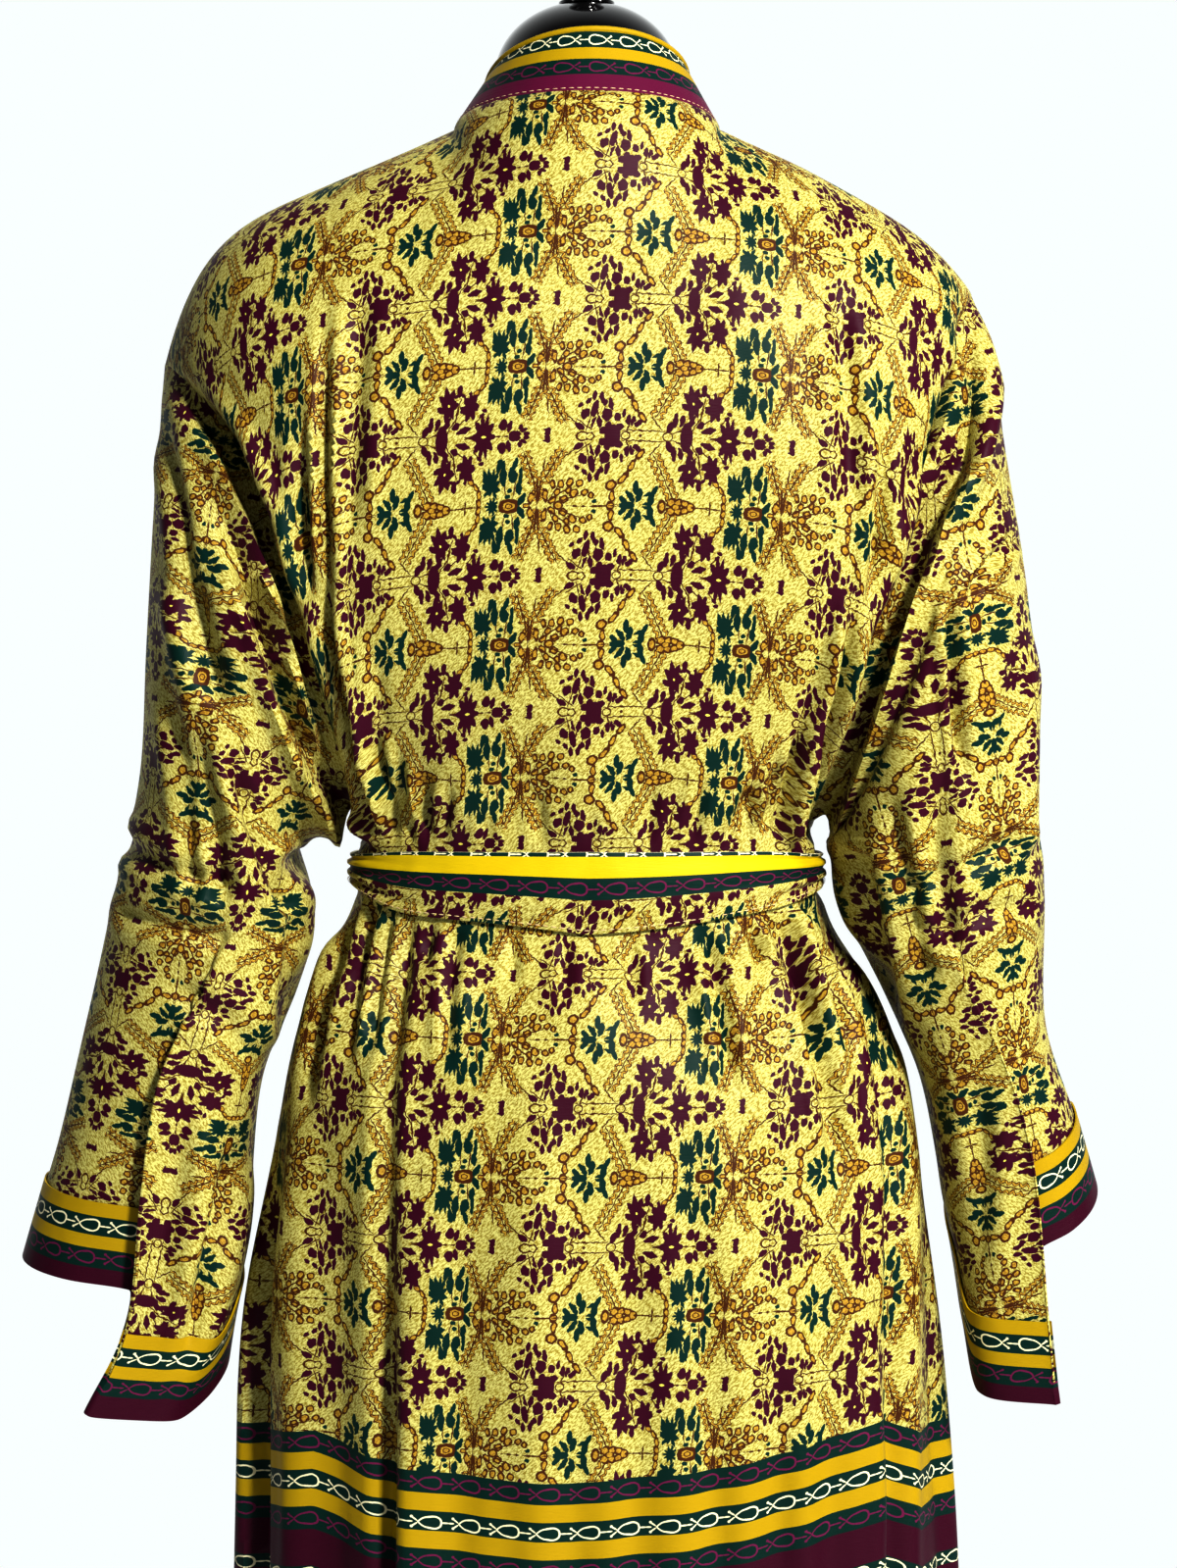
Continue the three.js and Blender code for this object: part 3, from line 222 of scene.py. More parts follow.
# Creases of the back: width and depth in millimetres (a negative depth stands up),
# which cloth they cross (b body, s sleeve), and x and y of each place measured on the picture
BACK_CREASES = [
    (7, 13, "bs", 190, 395, 240, 455, 275, 530, 302, 610, 335, 735, 362, 860),
    (7, 12, "bs", 985, 310, 1000, 395, 978, 465, 936, 550, 905, 642, 867, 768, 841, 860),
    (5.5, 9, "bs", 252, 544, 283, 661, 310, 745, 345, 830, 368, 868),
    (4.5, 8, "b", 296, 680, 325, 760, 352, 825, 372, 868),
    (4, 6.5, "b", 336, 725, 352, 790, 366, 840, 380, 868),
    (4, 4.5, "b", 343, 320, 342, 500, 344, 700, 352, 850),
    (7, -3.5, "b", 300, 560, 322, 680, 350, 790, 384, 868),
    (6, -2.5, "b", 372, 640, 380, 760, 398, 868),
    (9, 8, "s", 196, 580, 216, 655, 236, 725),
    (6, 3.5, "s", 160, 420, 188, 520, 204, 620),
    (6, 3.5, "s", 176, 700, 196, 800, 204, 900),
    (7, 4.5, "s", 205, 740, 222, 830, 232, 905),
    (5, 4.5, "s", 244, 770, 268, 850, 292, 925),
    (5, 3.5, "s", 296, 880, 300, 960, 282, 1090),
    (7, 3, "s", 112, 862, 170, 884, 232, 898),
    (6, 2.5, "s", 128, 936, 196, 950, 252, 962),
    (8, 2.5, "s", 172, 1000, 232, 1040, 262, 1100),
    (6, 6.5, "s", 243, 1170, 226, 1250, 206, 1330, 190, 1390),
    (8, -3, "s", 215, 1120, 200, 1230, 182, 1330),
    (3.2, 5.5, "s", 966, 600, 969, 655, 975, 743, 986, 800),
    (4.5, 6.5, "bs", 855, 850, 875, 778, 901, 687, 926, 610, 955, 545),
    (4, 4, "b", 906, 560, 898, 620, 886, 690),
    (4, 4.5, "s", 1044, 546, 1010, 575, 984, 612),
    (4.5, 5, "b", 822, 868, 832, 815, 850, 750, 862, 690),
    (4, 3.5, "b", 792, 868, 800, 820, 814, 760),
    (7, -3, "b", 806, 868, 822, 790, 846, 700, 872, 600),
    (6, 3, "s", 1036, 858, 985, 880, 936, 904),
    (6, 2.5, "s", 1048, 926, 1000, 930, 958, 950),
    (6, 4.5, "s", 884, 880, 905, 980, 930, 1085),
    (6, 3.5, "s", 905, 800, 930, 900, 952, 1010),
    (8, 3, "s", 1000, 1090, 1006, 1200, 1000, 1330),
    (8, 3, "s", 960, 770, 954, 860, 966, 950),
    (8, -3, "s", 1066, 640, 1056, 740, 1052, 850),
    (3, 2.6, "b", 398, 868, 402, 838, 408, 806),
    (3, 2.2, "b", 424, 868, 428, 842, 431, 822),
    (3.5, 2.4, "b", 452, 868, 456, 840, 466, 800),
    (3, 1.6, "b", 500, 868, 501, 846, 504, 830),
    (3.5, 1.8, "b", 556, 868, 556, 840, 552, 806),
    (3, 1.4, "b", 607, 868, 608, 846, 606, 824),
    (3.5, 1.9, "b", 662, 868, 664, 836, 670, 800),
    (3, 2, "b", 706, 868, 712, 836, 722, 790),
    (3, 2.6, "b", 744, 868, 752, 838, 764, 800),
    (3, 2.4, "b", 770, 868, 778, 842, 786, 822),
    (5, 5.5, "b", 374, 896, 352, 960, 330, 1040, 312, 1140),
    (5, 5, "b", 390, 905, 372, 985, 356, 1090),
    (6, 3, "b", 424, 940, 411, 1010, 402, 1100, 400, 1250, 402, 1420, 404, 1700),
    (4, 2.4, "b", 470, 950, 464, 1010, 462, 1080),
    (4, 1.8, "b", 528, 955, 528, 1000),
    (4, 1.6, "b", 580, 955, 582, 1010),
    (4, 2, "b", 646, 955, 650, 1022),
    (5, 3, "b", 722, 950, 738, 1020, 750, 1110),
    (6, 5, "b", 790, 935, 820, 1010, 844, 1100, 860, 1210),
    (7, 5, "b", 826, 905, 868, 980, 904, 1080, 918, 1200, 918, 1400, 916, 1700),
    (5, 5, "b", 836, 893, 884, 962, 930, 1062),
    (16, 2.5, "b", 490, 1120, 478, 1300, 474, 1700),
    (14, -2.2, "b", 556, 1080, 556, 1350, 556, 1700),
    (16, 2.6, "b", 640, 1160, 650, 1400, 656, 1700),
    (14, -2.6, "b", 736, 1120, 752, 1350, 762, 1700),
    (12, 2.4, "b", 828, 1220, 846, 1420, 850, 1700),
    (6, 4.5, "b", 286, 1180, 268, 1330, 262, 1450, 262, 1700),
    (9, -3, "b", 310, 1080, 300, 1300, 300, 1700),
    (11, 2.4, "b", 352, 1130, 346, 1350, 348, 1700),
    (4, 8, "b", 338, 600, 352, 700, 368, 790, 386, 868),
    (3.5, 7, "b", 352, 690, 372, 780, 396, 868),
    (3.5, 6, "b", 384, 740, 396, 800, 409, 868),
    (3, 5, "b", 410, 770, 414, 820, 423, 868),
    (3, 4, "b", 440, 790, 440, 868),
    (4, 8, "b", 872, 600, 856, 700, 840, 790, 822, 868),
    (3.5, 7, "b", 850, 690, 832, 780, 811, 868),
    (3.5, 6, "b", 820, 740, 809, 800, 797, 868),
    (3, 5, "b", 796, 770, 790, 820, 781, 868),
    (3, 4, "b", 768, 800, 764, 868),
    (4, 5, "b", 384, 915, 362, 980, 340, 1080),
    (3.5, 4, "b", 402, 925, 390, 1000, 382, 1080),
    (3, 4, "b", 444, 935, 437, 985),
    (4, 5, "b", 820, 915, 846, 980, 872, 1080),
    (3.5, 4, "b", 802, 925, 821, 1000, 834, 1080),
    (3, 4, "b", 768, 935, 778, 985),
    (6, 5, "bs", 230, 500, 262, 600, 300, 700, 330, 800),
    (5, 5, "b", 318, 420, 322, 560, 334, 690, 350, 800),
    (5, 5, "b", 900, 430, 893, 560, 878, 680, 858, 800),
    (7, 3, "b", 380, 300, 372, 420, 366, 560),
    (7, 3, "b", 850, 300, 862, 420, 866, 540),
]

# Creases of the front, their places in millimetres across and up
FRONT_CREASES = [
    (7, 8, "bs", -212, 1222, -182, 1150, -156, 1080, -128, 994),
    (7, 7, "bs", 200, 1250, 190, 1180, 164, 1090, 128, 994),
    (8, 4, "b", -122, 1240, -106, 1130, -90, 992),
    (6, 3, "b", -72, 1120, -60, 992),
    (5, 6, "b", -156, 1150, -127, 1060, -108, 992),
    (7, -3, "b", -110, 1100, -98, 1030, -92, 992),
    (8, 4, "b", 112, 1225, 100, 1120, 84, 992),
    (5, 3, "b", 62, 1100, 52, 992),
    (5, 6, "b", 152, 1140, 129, 1060, 104, 992),
    (4, 2.4, "b", 30, 1080, 28, 992),
    (4, 2.2, "b", -28, 1066, -31, 992),
    (4, 2, "b", 8, 1050, 6, 992),
    (8, 6, "b", -108, 950, -122, 850, -131, 700, -135, 400),
    (10, 4, "b", -70, 955, -76, 860, -84, 700, -88, 400),
    (8, 3, "b", -30, 960, -34, 870, -40, 720, -44, 400),
    (9, 3, "b", 20, 960, 24, 860, 31, 700, 35, 400),
    (9, 5, "b", 70, 955, 80, 850, 91, 680, 96, 400),
    (8, 6, "b", 110, 950, 130, 840, 143, 680, 150, 400),
    (12, -3, "b", -100, 820, -108, 600, -112, 400),
    (12, -3, "b", 52, 830, 62, 600, 66, 400),
    (5, 4, "b", -92, 955, -100, 900, -104, 850),
    (5, 4, "b", 92, 955, 104, 900, 112, 860),
    (8, 4.5, "s", -232, 1150, -216, 1050, -206, 950),
    (7, 5, "s", -188, 1060, -200, 960, -226, 860),
    (6, 2.6, "s", -248, 944, -214, 904, -190, 890),
    (6, 3.5, "s", -262, 880, -250, 800, -252, 740),
    (8, 4, "s", 226, 1170, 213, 1060, 205, 950),
    (7, 4.5, "s", 184, 1050, 205, 960, 226, 870),
    (6, 2.6, "s", 240, 936, 206, 894, 190, 884),
    (6, 3.5, "s", 244, 880, 238, 820, 240, 760),
]
PICTURE = dict(x=602, y=650, z=1100, scale=1.95)  # middle, eye level and pixels to a millimetre
SASH_ZONE, OFF_HEM = (940, 1000), 610  # heights at which a crease runs on out of sight
# Creases fade within "side" of the middle depth, and within "edge" of the armholes and the
# sash; "depth" and "width" scale the tables, and "most" is what they sink together
RELIEF = dict(side=14, edge=16, depth=1.6, width=0.8, least_width=3.4, most=15.0)

# Print places: lean, middle and foot of the body's print, and where a front's starts beside
# the side seam
PRINT_TILT, PRINT_MIDDLE, PRINT_FOOT, FRONT_START = 0.068, 34.5, 25.5, 40
SASH_START = 16
HEM_HITCH = [  # how far the border of the back is drawn up, by millimetres from its middle
    (-205, 0), (-160, 7), (-106, -6), (-96, -3), (-42, -7), (-8, -8), (59, -3), (93, 2), (127, 9),
    (158, 16), (180, 11), (205, 0),
]
BACK_COLUMN = SLEEVE_COLUMNS * 3 // 4  # the column down the middle of a sleeve's back
SLEEVE_PRINT = {  # lean of the grain, then where the print starts along it and round
    "left": (-0.24, 88, 53),
    "right": (0.3, 47, 58),
}
SLEEVE_LEVEL, PAST_STRIPES = 1000, 5000  # zero of the sleeves' print; a place beyond any stripe
# The sleeves' print is laid out in at most MOST_ROUNDS, or until what is left is SETTLED;
# HOLD is the pull on the held column, where each step of cloth pulls with about 1
HOLD, MOST_ROUNDS, SETTLED = 0.003, 900, 1e-6


def mix(a, b, share):
    return a + (b - a) * share


def smooth(start, end, value):
    share = np.clip((value - start) / (end - start), 0, 1)
    return share * share * (3 - 2 * share)


def curve(xs, ys):
    """A smooth curve through the points, which never overshoots them."""
    xs, ys = np.asarray(xs, float), np.asarray(ys, float)
    slopes = np.diff(ys) / np.diff(xs)
    tangents = np.empty_like(xs)
    tangents[0], tangents[-1] = slopes[0], slopes[-1]
    before, after = slopes[:-1], slopes[1:]
    agree = before * after > 0
    tangents[1:-1] = np.where(agree, 2 * before * after / np.where(agree, before + after, 1), 0)

    def read(at):
        at = np.clip(at, xs[0], xs[-1])
        i = np.clip(np.searchsorted(xs, at) - 1, 0, len(xs) - 2)
        span = xs[i + 1] - xs[i]
        s = (at - xs[i]) / span
        keep = 1 - s
        start = ys[i] * (1 + 2 * s) * keep**2 + tangents[i] * span * s * keep**2
        return start + ys[i + 1] * (3 - 2 * s) * s**2 - tangents[i + 1] * span * s**2 * keep

    return read


def points(x, y, z):
    return np.stack(np.broadcast_arrays(x, y, z), axis=-1).astype(float)


def uv_pairs(u, v):
    return np.stack(np.broadcast_arrays(u, v), axis=-1)


def unit(vectors):
    return vectors / np.maximum(np.linalg.norm(vectors, axis=-1, keepdims=True), 1e-9)


def all_round(count):
    """The angles of a full turn in equal steps."""
    return np.linspace(0, FULL, count + 1)[:-1]


def distances(grid, axis):
    """Length of cloth from the first row or column to each point."""
    steps = np.linalg.norm(np.diff(grid, axis=axis), axis=-1)
    return np.insert(np.cumsum(steps, axis=axis), 0, 0, axis=axis)


def along_line(at, way, line):
    """Places at lengths along a line, whose points lie at the lengths in way."""
    return np.stack([np.interp(at, way, line[:, k]) for k in range(3)], -1)


RING = {name: curve(RING_Z, values) for name, values in RINGS.items()}
SASH_HALF, SASH_TOP = (
    {face: curve(rows[0], rows[k]) for face, rows in SASH_FACES.items()} for k in (1, 2))


def row_height(row):
    way = (1 - np.minimum(row, PLAIN_ROWS) / PLAIN_ROWS) ** ROW_CROWDING
    beside_sash = np.arange(PLAIN_ROWS, LOWER_ROWS + 1)
    above = np.interp(row, beside_sash, RING_Z[-len(beside_sash):])
    return np.where(row > PLAIN_ROWS, above, HEM + (SASH_FOOT - HEM) * (1 - way))


def ring_point(face, t, z):
    angle = np.abs(t) * QUARTER
    out = np.where(t < 0, RING["left"](z), RING["right"](z))
    y = RING[face](z) * np.maximum(np.cos(angle), 0) ** RING_ROUND
    return points(np.sign(t) * out * np.sin(angle), WAY[face] * y, z)


def armhole(t):
    """The values of the sleeve's first section, on the side where t lies."""
    left, right = (SLEEVES[side]["sections"][0] for side in ("left", "right"))
    return [np.where(t < 0, a, b) for a, b in zip(left, right)]


def shoulder_height(t, out):
    tip_out, tip_z, *others = armhole(t)
    slope, power = (
        np.where(t < 0, SLEEVES["left"][key], SLEEVES["right"][key]) for key in ("slope", "drop"))
    run, whole = np.maximum(out - NECK_OUT, 0), tip_out - NECK_OUT
    drop = NECK_Z - slope * whole - tip_z
    return NECK_Z - slope * run - drop * (run / whole) ** power


def top_point(face, t):
    """The top edge of a face: the shoulder lines, and the neck line between them."""
    away = np.abs(t)
    share = np.sin(np.clip((away - NECK_T) / (1 - NECK_T), 0, 1) * QUARTER)
    out = mix(NECK_OUT, armhole(t)[0], share)
    shoulder = points(np.sign(t) * out, 0, shoulder_height(t, out))
    angle = np.clip(t / NECK_T, -1, 1) * QUARTER
    depth, rise = (value * np.cos(angle) for value in NECK_LINE[face])
    neck = points(NECK_OUT * np.sin(angle), WAY[face] * depth, NECK_Z + rise)
    return np.where((away >= NECK_T)[..., None], shoulder, neck)


def soft_top(face, t, climb):
    reach = np.minimum(NECK_SOFT * (1 - climb), 1 - np.abs(t))
    sides = (top_point(face, t - reach) + top_point(face, t + reach)) / 2
    return mix(sides, top_point(face, t), TOP_OWN)


def yoke_point(face, t, turn):
    """The yoke from the underarm to the top edge, which ends in the armhole's ring."""
    away, sign = np.abs(t), np.sign(t)
    outer, outer_z, inner, inner_z, *others, bow, under = armhole(t)
    middle_out = (outer + inner) / 2 - bow
    middle_z = mix(BLADE, (outer_z + inner_z) / 2, away**3)
    bow = bow * away**3
    centre, side = YOKE[face]
    depth = mix(side, centre, np.maximum(np.cos(away * QUARTER), 0) ** YOKE_ROUND)
    axis_x = sign * middle_out * np.sin(away * QUARTER) + sign * bow
    rising = turn < QUARTER
    share = np.abs(1 - turn / QUARTER)
    circular = np.where(rising, mix(NECK_CIRCULAR, 1, smooth(0, 2 * NECK_T, away)), away**3)
    climb = mix(share, np.sin(share * QUARTER), circular)
    foot = ring_point(face, t, UNDERARM + 0 * t)
    end = np.where(rising[..., None], soft_top(face, t, climb), foot)
    above, below = mix(NECK_ROUND, ARM_ROUND[face], away), mix(1, UNDERARM_ROUND, away)
    fullness = np.where(rising, above, below)
    swell = np.maximum(0, np.cos(share * QUARTER)) ** fullness
    return points(
        axis_x + (end[..., 0] - axis_x) * climb - sign * bow * np.cos(share * QUARTER),
        end[..., 1] + (WAY[face] * depth - end[..., 1]) * swell,
        mix(middle_z, end[..., 2], climb),
    )


def fold_shift(face, t, z):
    shift, half = 0 * t, FOLD_SIDE / 2
    for where, start, end, depth, top in SKIRT_FOLDS:
        if where == face:
            inside, beyond = (smooth(at - half, at + half, t) for at in (start, end))
            shift = shift - depth * (inside - beyond) * smooth(top, top - FOLD_RUN, z)
    away = np.maximum(z - SASH_HEAD, SASH_FOOT - z)
    growing = smooth(0, GATHERS["grown"], away)
    fading = 1 - smooth(GATHERS["fading"], GATHERS["reach"], away)
    near_seam = 1 - np.abs(t) ** 6
    waves = np.cos(math.pi * GATHERS["waves"] * t)
    return shift + GATHERS["depth"] * growing * fading * near_seam * waves


def lap_height(t, z):
    """How far a front stands off the middle between both fronts, where they lap."""
    across = 1 - smooth(LAP["whole"], LAP["none"], np.abs(t))
    return FRONT_LAYERS * (across * (1 - smooth(LAP["low"], LAP["high"], z))) / 2


def moved_out(face, t, place, distance):
    place[..., 0] += distance * np.sin(t * QUARTER)
    place[..., 1] += distance * np.cos(t * QUARTER) * WAY[face]
    return place


def body_point(face, t, row, layer=0):
    """A place on the body; layer is 1 on the upper front and -1 on the lower one."""
    t, row = np.broadcast_arrays(np.asarray(t, float), np.asarray(row, float))
    turn = math.pi * (1 - (np.maximum(row, LOWER_ROWS) - LOWER_ROWS) / ARM_ROWS)
    lower = ring_point(face, t, row_height(row))
    place = np.where((row > LOWER_ROWS)[..., None], yoke_point(face, t, turn), lower)
    z = place[..., 2]
    return moved_out(face, t, place, fold_shift(face, t, z) + layer * lap_height(t, z))


ROW_TABLE = np.linspace(0, LOWER_ROWS, 2001)
ROWS = np.concatenate([
    np.interp(np.linspace(HEM, UNDERARM, SKIRT_ROWS + 1), row_height(ROW_TABLE), ROW_TABLE),
    LOWER_ROWS + np.arange(1, YOKE_ROWS + 1) * ARM_ROWS / YOKE_ROWS,
])
BACK_T = np.concatenate([
    np.linspace(-1, -NECK_T, SIDE_COLUMNS + 1),
    np.linspace(-NECK_T, NECK_T, NECK_COLUMNS + 1)[1:-1],
    np.linspace(NECK_T, 1, SIDE_COLUMNS + 1),
])
EDGE_WAYS = np.where(ROWS <= LOWER_ROWS, ROWS / LOWER_ROWS, 1 + (ROWS - LOWER_ROWS) / ARM_ROWS)
FRONT_EDGE = curve(EDGE_WAY, EDGE_T)(EDGE_WAYS)[:, None]


def front_grid(side):
    t = mix(side, -side * FRONT_EDGE, np.linspace(0, 1, SIDE_COLUMNS + 1)[None, :])
    return body_point("front", t, ROWS[:, None], -side)


def collar_point(share):
    angle = share * QUARTER
    return points(
        COLLAR["out"] * np.sin(angle),
        COLLAR["front"] - (COLLAR["front"] + COLLAR["back"]) * np.cos(angle),
        COLLAR["side"] + COLLAR["rise"] * np.cos(angle) + COLLAR["tilt"] * share,
    )


def front_band(side, seams):
    """The neckband beside a front: lines from its seam to its free edge."""
    share = np.linspace(0, 1, BAND_COLUMNS + 1)
    t = -side * FRONT_EDGE - side * (np.arange(EDGE_STEPS) * EDGE_STEP)[None, :]
    beyond = body_point("front", np.clip(t, -1, 1), ROWS[:, None], -side)
    length = distances(beyond, 1)
    stand = collar_point(float(side)) - np.array([side * NECK_OUT, 0, NECK_Z])
    rising = share[:, None] * stand[None, :]
    lines = []
    for i, row in enumerate(ROWS):
        flat = along_line(share * BAND_WIDTH, length[i], beyond[i])
        standing = smooth(COLLAR["standing"], 1, (row - LOWER_ROWS) / ARM_ROWS)
        lines.append(seams[i] + mix(flat - seams[i], rising, standing))
    return np.array(lines)


def neckband_grid(back, front_left, front_right):
    share = np.linspace(0, 1, BAND_COLUMNS + 1)[:, None]
    middle = [
        mix(back[-1, SIDE_COLUMNS + column], collar_point(2 * column / NECK_COLUMNS - 1), share)
        for column in range(NECK_COLUMNS - 1, 0, -1)
    ]
    right, left = front_band(1, front_right[:, -1]), front_band(-1, front_left[:, -1])
    return np.concatenate([right, np.array(middle), left[::-1]])


def sleeve_ring(section, turn):
    outer, outer_z, inner, inner_z, back, front, bow, under = section
    cosine, sine = np.cos(turn), np.sin(turn)
    behind = sine >= 0
    arm_round = np.where(behind, ARM_ROUND["back"], ARM_ROUND["front"])
    power = np.where(cosine > 0, arm_round, under)
    swell = np.where(behind, back, front) * np.abs(sine) ** power
    share = (1 + cosine) / 2
    return points(
        mix(inner, outer, share) - bow * np.abs(sine),
        np.where(behind, -swell, swell),
        mix(inner_z, outer_z, share),
    )


def add_pleat(place, degrees, section):
    strength = smooth(PLEAT["start"], PLEAT["whole"], section)
    half = PLEAT["width"] / 2
    raised = smooth(PLEAT["turn"] - half, PLEAT["turn"] + half, degrees)
    lowered = smooth(PLEAT["ebb"], PLEAT["end"], degrees)
    crest = np.exp(-(((degrees - PLEAT["turn"] - half) / (PLEAT["crest"] * PLEAT["width"])) ** 2))
    place[:, 1] -= PLEAT["lift"] * strength * (raised - lowered)
    place[:, 0] += PLEAT["lap"] * strength * crest
    return place


def crowd(turn):
    """The columns' turns, drawn together where the pleat lies."""
    fine = np.linspace(-math.pi, math.pi, 4001)
    near_pleat = np.exp(-(((np.degrees(fine) - PLEAT["turn"]) / PLEAT["crowd_width"]) ** 2))
    density = 1 + PLEAT["crowd"] * near_pleat
    total = np.insert(np.cumsum((density[1:] + density[:-1]) / 2), 0, 0)
    return np.interp((turn + math.pi) / FULL * total[-1], total, fine)


def through(stops, spans):
    """Points on the smooth line through the stops, at places counted in stops."""
    first = np.minimum(spans.astype(int), len(stops) - 2)
    s = (spans - first)[:, None, None]
    padded = np.concatenate([[2 * stops[0] - stops[1]], stops, [2 * stops[-1] - stops[-2]]])
    x0, x1, x2, x3 = (padded[first + k] for k in range(4))
    gap = [np.maximum(np.linalg.norm(b - a, axis=-1, keepdims=True), 1e-4) ** 0.5
           for a, b in ((x0, x1), (x1, x2), (x2, x3))]
    t1 = ((x1 - x0) / gap[0] - (x2 - x0) / (gap[0] + gap[1]) + (x2 - x1) / gap[1]) * gap[1]
    t2 = ((x2 - x1) / gap[1] - (x3 - x1) / (gap[1] + gap[2]) + (x3 - x2) / gap[2]) * gap[1]
    return x1 + t1 * s + (3 * (x2 - x1) - 2 * t1 - t2) * s**2 + (2 * (x1 - x2) + t1 + t2) * s**3


def sleeve_grid(name):
    """A sleeve's rows from the armhole to the hem; its columns start at the inner seam."""
    sleeve = SLEEVES[name]
    sections = sleeve["sections"]
    turn = np.linspace(-math.pi, math.pi, SLEEVE_COLUMNS + 1)
    crowded = crowd(turn)
    stops = []
    for i, section in enumerate(sections):
        at = mix(turn, crowded, float(smooth(2, 5, i)))
        stops.append(add_pleat(sleeve_ring(section, at), np.degrees(at) % 360, i))
    degrees = np.degrees(crowded) % 360
    hem = sleeve_ring(sleeve["hem"], crowded)
    hem[:, 2] = curve(sleeve["hem_turn"], sleeve["hem_z"])(degrees)
    hem = add_pleat(hem, degrees, len(sections))
    cuff_top = hem + BAND_WIDTH * unit(stops[-1] - hem)
    hem[:, 0] += curve(sleeve["hem_turn"], sleeve["flare"])(degrees)
    stops = np.array([*stops, cuff_top, hem])
    spans = []
    for i in range(len(stops) - 1):
        length = np.linalg.norm(stops[i + 1] - stops[i], axis=1).mean()
        count = CUFF_ROWS if i == len(stops) - 2 else max(3, round(length / SLEEVE_STEP))
        spans.append(i + np.arange(count) / count)
    grid = through(stops, np.concatenate([*spans, [len(stops) - 1]]))
    if name == "left":
        grid[..., 0] *= -1
    return grid


def normals_of(surface):
    grid = surface["grid"]
    across = np.gradient(grid, axis=1)
    if surface["closed"]:
        ring = grid[:, :-1]
        across = np.roll(ring, -1, axis=1) - np.roll(ring, 1, axis=1)
        across = np.concatenate([across, across[:, :1]], axis=1)
    normal = unit(np.cross(across, np.gradient(grid, axis=0)))
    return -normal if surface["flip"] else normal


def surface_of(grid, closed=False, flip=False, **maps):
    """A grid of points with its normals; maps are its print and band places."""
    surface = {"grid": grid, "closed": closed, "flip": flip, **maps}
    surface["normals"] = normals_of(surface)
    return surface


def border_places(surface):
    rows, columns = surface["grid"].shape[:2]
    places = [(i, j) for i in (0, rows - 1) for j in range(columns)]
    if not surface["closed"]:
        places += [(i, j) for i in range(1, rows - 1) for j in (0, columns - 1)]
    return places


def share_normals(surfaces):
    """Cloth that is sewn together has the same normals along the seam."""
    sums, edges = {}, []
    for surface in surfaces:
        for place in border_places(surface):
            key = tuple(np.round(surface["grid"][place], 2) + 0.0)
            sums[key] = sums.get(key, 0) + surface["normals"][place]
            edges.append((surface["normals"], place, key))
    for normals, place, key in edges:
        normals[place] = unit(sums[key])


def crease_depth(places, line, width):
    """How much one crease sinks the cloth at places given as (across, up)."""
    best = np.full(places.shape[:-1], np.inf)
    along = np.zeros(places.shape[:-1])
    lengths = np.linalg.norm(np.diff(line, axis=0), axis=1)
    starts = distances(line, 0)
    for start, length, a, b in zip(starts, lengths, line, line[1:]):
        share = np.clip(((places - a) @ (b - a)) / length**2, 0, 1)
        gap = np.linalg.norm(places - a - share[..., None] * (b - a), axis=-1)
        along = np.where(gap < best, start + share * length, along)
        best = np.minimum(gap, best)
    way = along / starts[-1]
    taper = smooth(-0.05, 0.3, way) * (1 - smooth(0.7, 1.05, way))
    # Creases that run off the hem or into the sash keep their depth there
    if SASH_ZONE[0] < line[0, 1] < SASH_ZONE[1]:
        taper = np.maximum(taper, 1 - smooth(0.5, 0.9, way))
    if line[-1, 1] < OFF_HEM or SASH_ZONE[0] < line[-1, 1] < SASH_ZONE[1]:
        taper = np.maximum(taper, smooth(0.1, 0.5, way))
    q = best / width
    return taper * (np.exp(-(q**2)) - 0.4 * np.exp(-(((q - 1.9) / 0.9) ** 2)))


def on_cloth(x, y):
    """Millimetres across and up, from a place on the picture."""
    scale = PICTURE["scale"]
    return (x - PICTURE["x"]) / scale, PICTURE["z"] + (PICTURE["y"] - y) / scale


CREASES = []
for face, rows in (("back", BACK_CREASES), ("front", FRONT_CREASES)):
    for width, depth, where, *places in rows:
        line = list(zip(places[::2], places[1::2]))
        if face == "back":
            line = [on_cloth(*place) for place in line]
        CREASES.append((face, width, depth, where, np.array(line, float)))
random = np.random.default_rng(7)
SWELLS = [(random.uniform(-0.05, 0.05), random.uniform(-0.02, 0.02), random.uniform(0, 6.28),
           random.uniform(0.15, 0.4)) for unused in range(14)]


def relief(grid, cloth, seam_gap):
    """How far the cloth sinks at each point, from its creases; cloth is b or s."""
    x, y, z = grid[..., 0], grid[..., 1], grid[..., 2]
    behind = smooth(RELIEF["side"], -RELIEF["side"], y)
    shares = {"back": behind, "front": 1 - behind}
    off_seam = smooth(0, RELIEF["edge"], seam_gap)
    sunk = 0 * x
    for face, width, depth, where, line in CREASES:
        if cloth in where:
            share = shares[face] * (1 if len(where) == 2 else off_seam)
            width = max(RELIEF["width"] * width, RELIEF["least_width"])
            crease = crease_depth(grid[..., [0, 2]], line, width)
            sunk = sunk + RELIEF["depth"] * depth * share * crease
    for across, up, phase, amount in SWELLS:
        sunk = sunk + amount * np.sin(across * x + up * z + phase + 0.6 * np.sin(0.021 * z + phase))
    sunk = RELIEF["most"] * np.tanh(sunk / RELIEF["most"])
    if cloth == "s":
        return sunk
    t = np.arcsin(np.clip(np.abs(x) / WAIST_HALF, 0, 1)) / QUARTER
    head, half = (
        np.where(behind > 0.5, read["back"](t), read["front"](t)) for read in (SASH_TOP, SASH_HALF))
    return sunk * smooth(0, RELIEF["edge"], np.maximum(z - head, head - 2 * half - z))


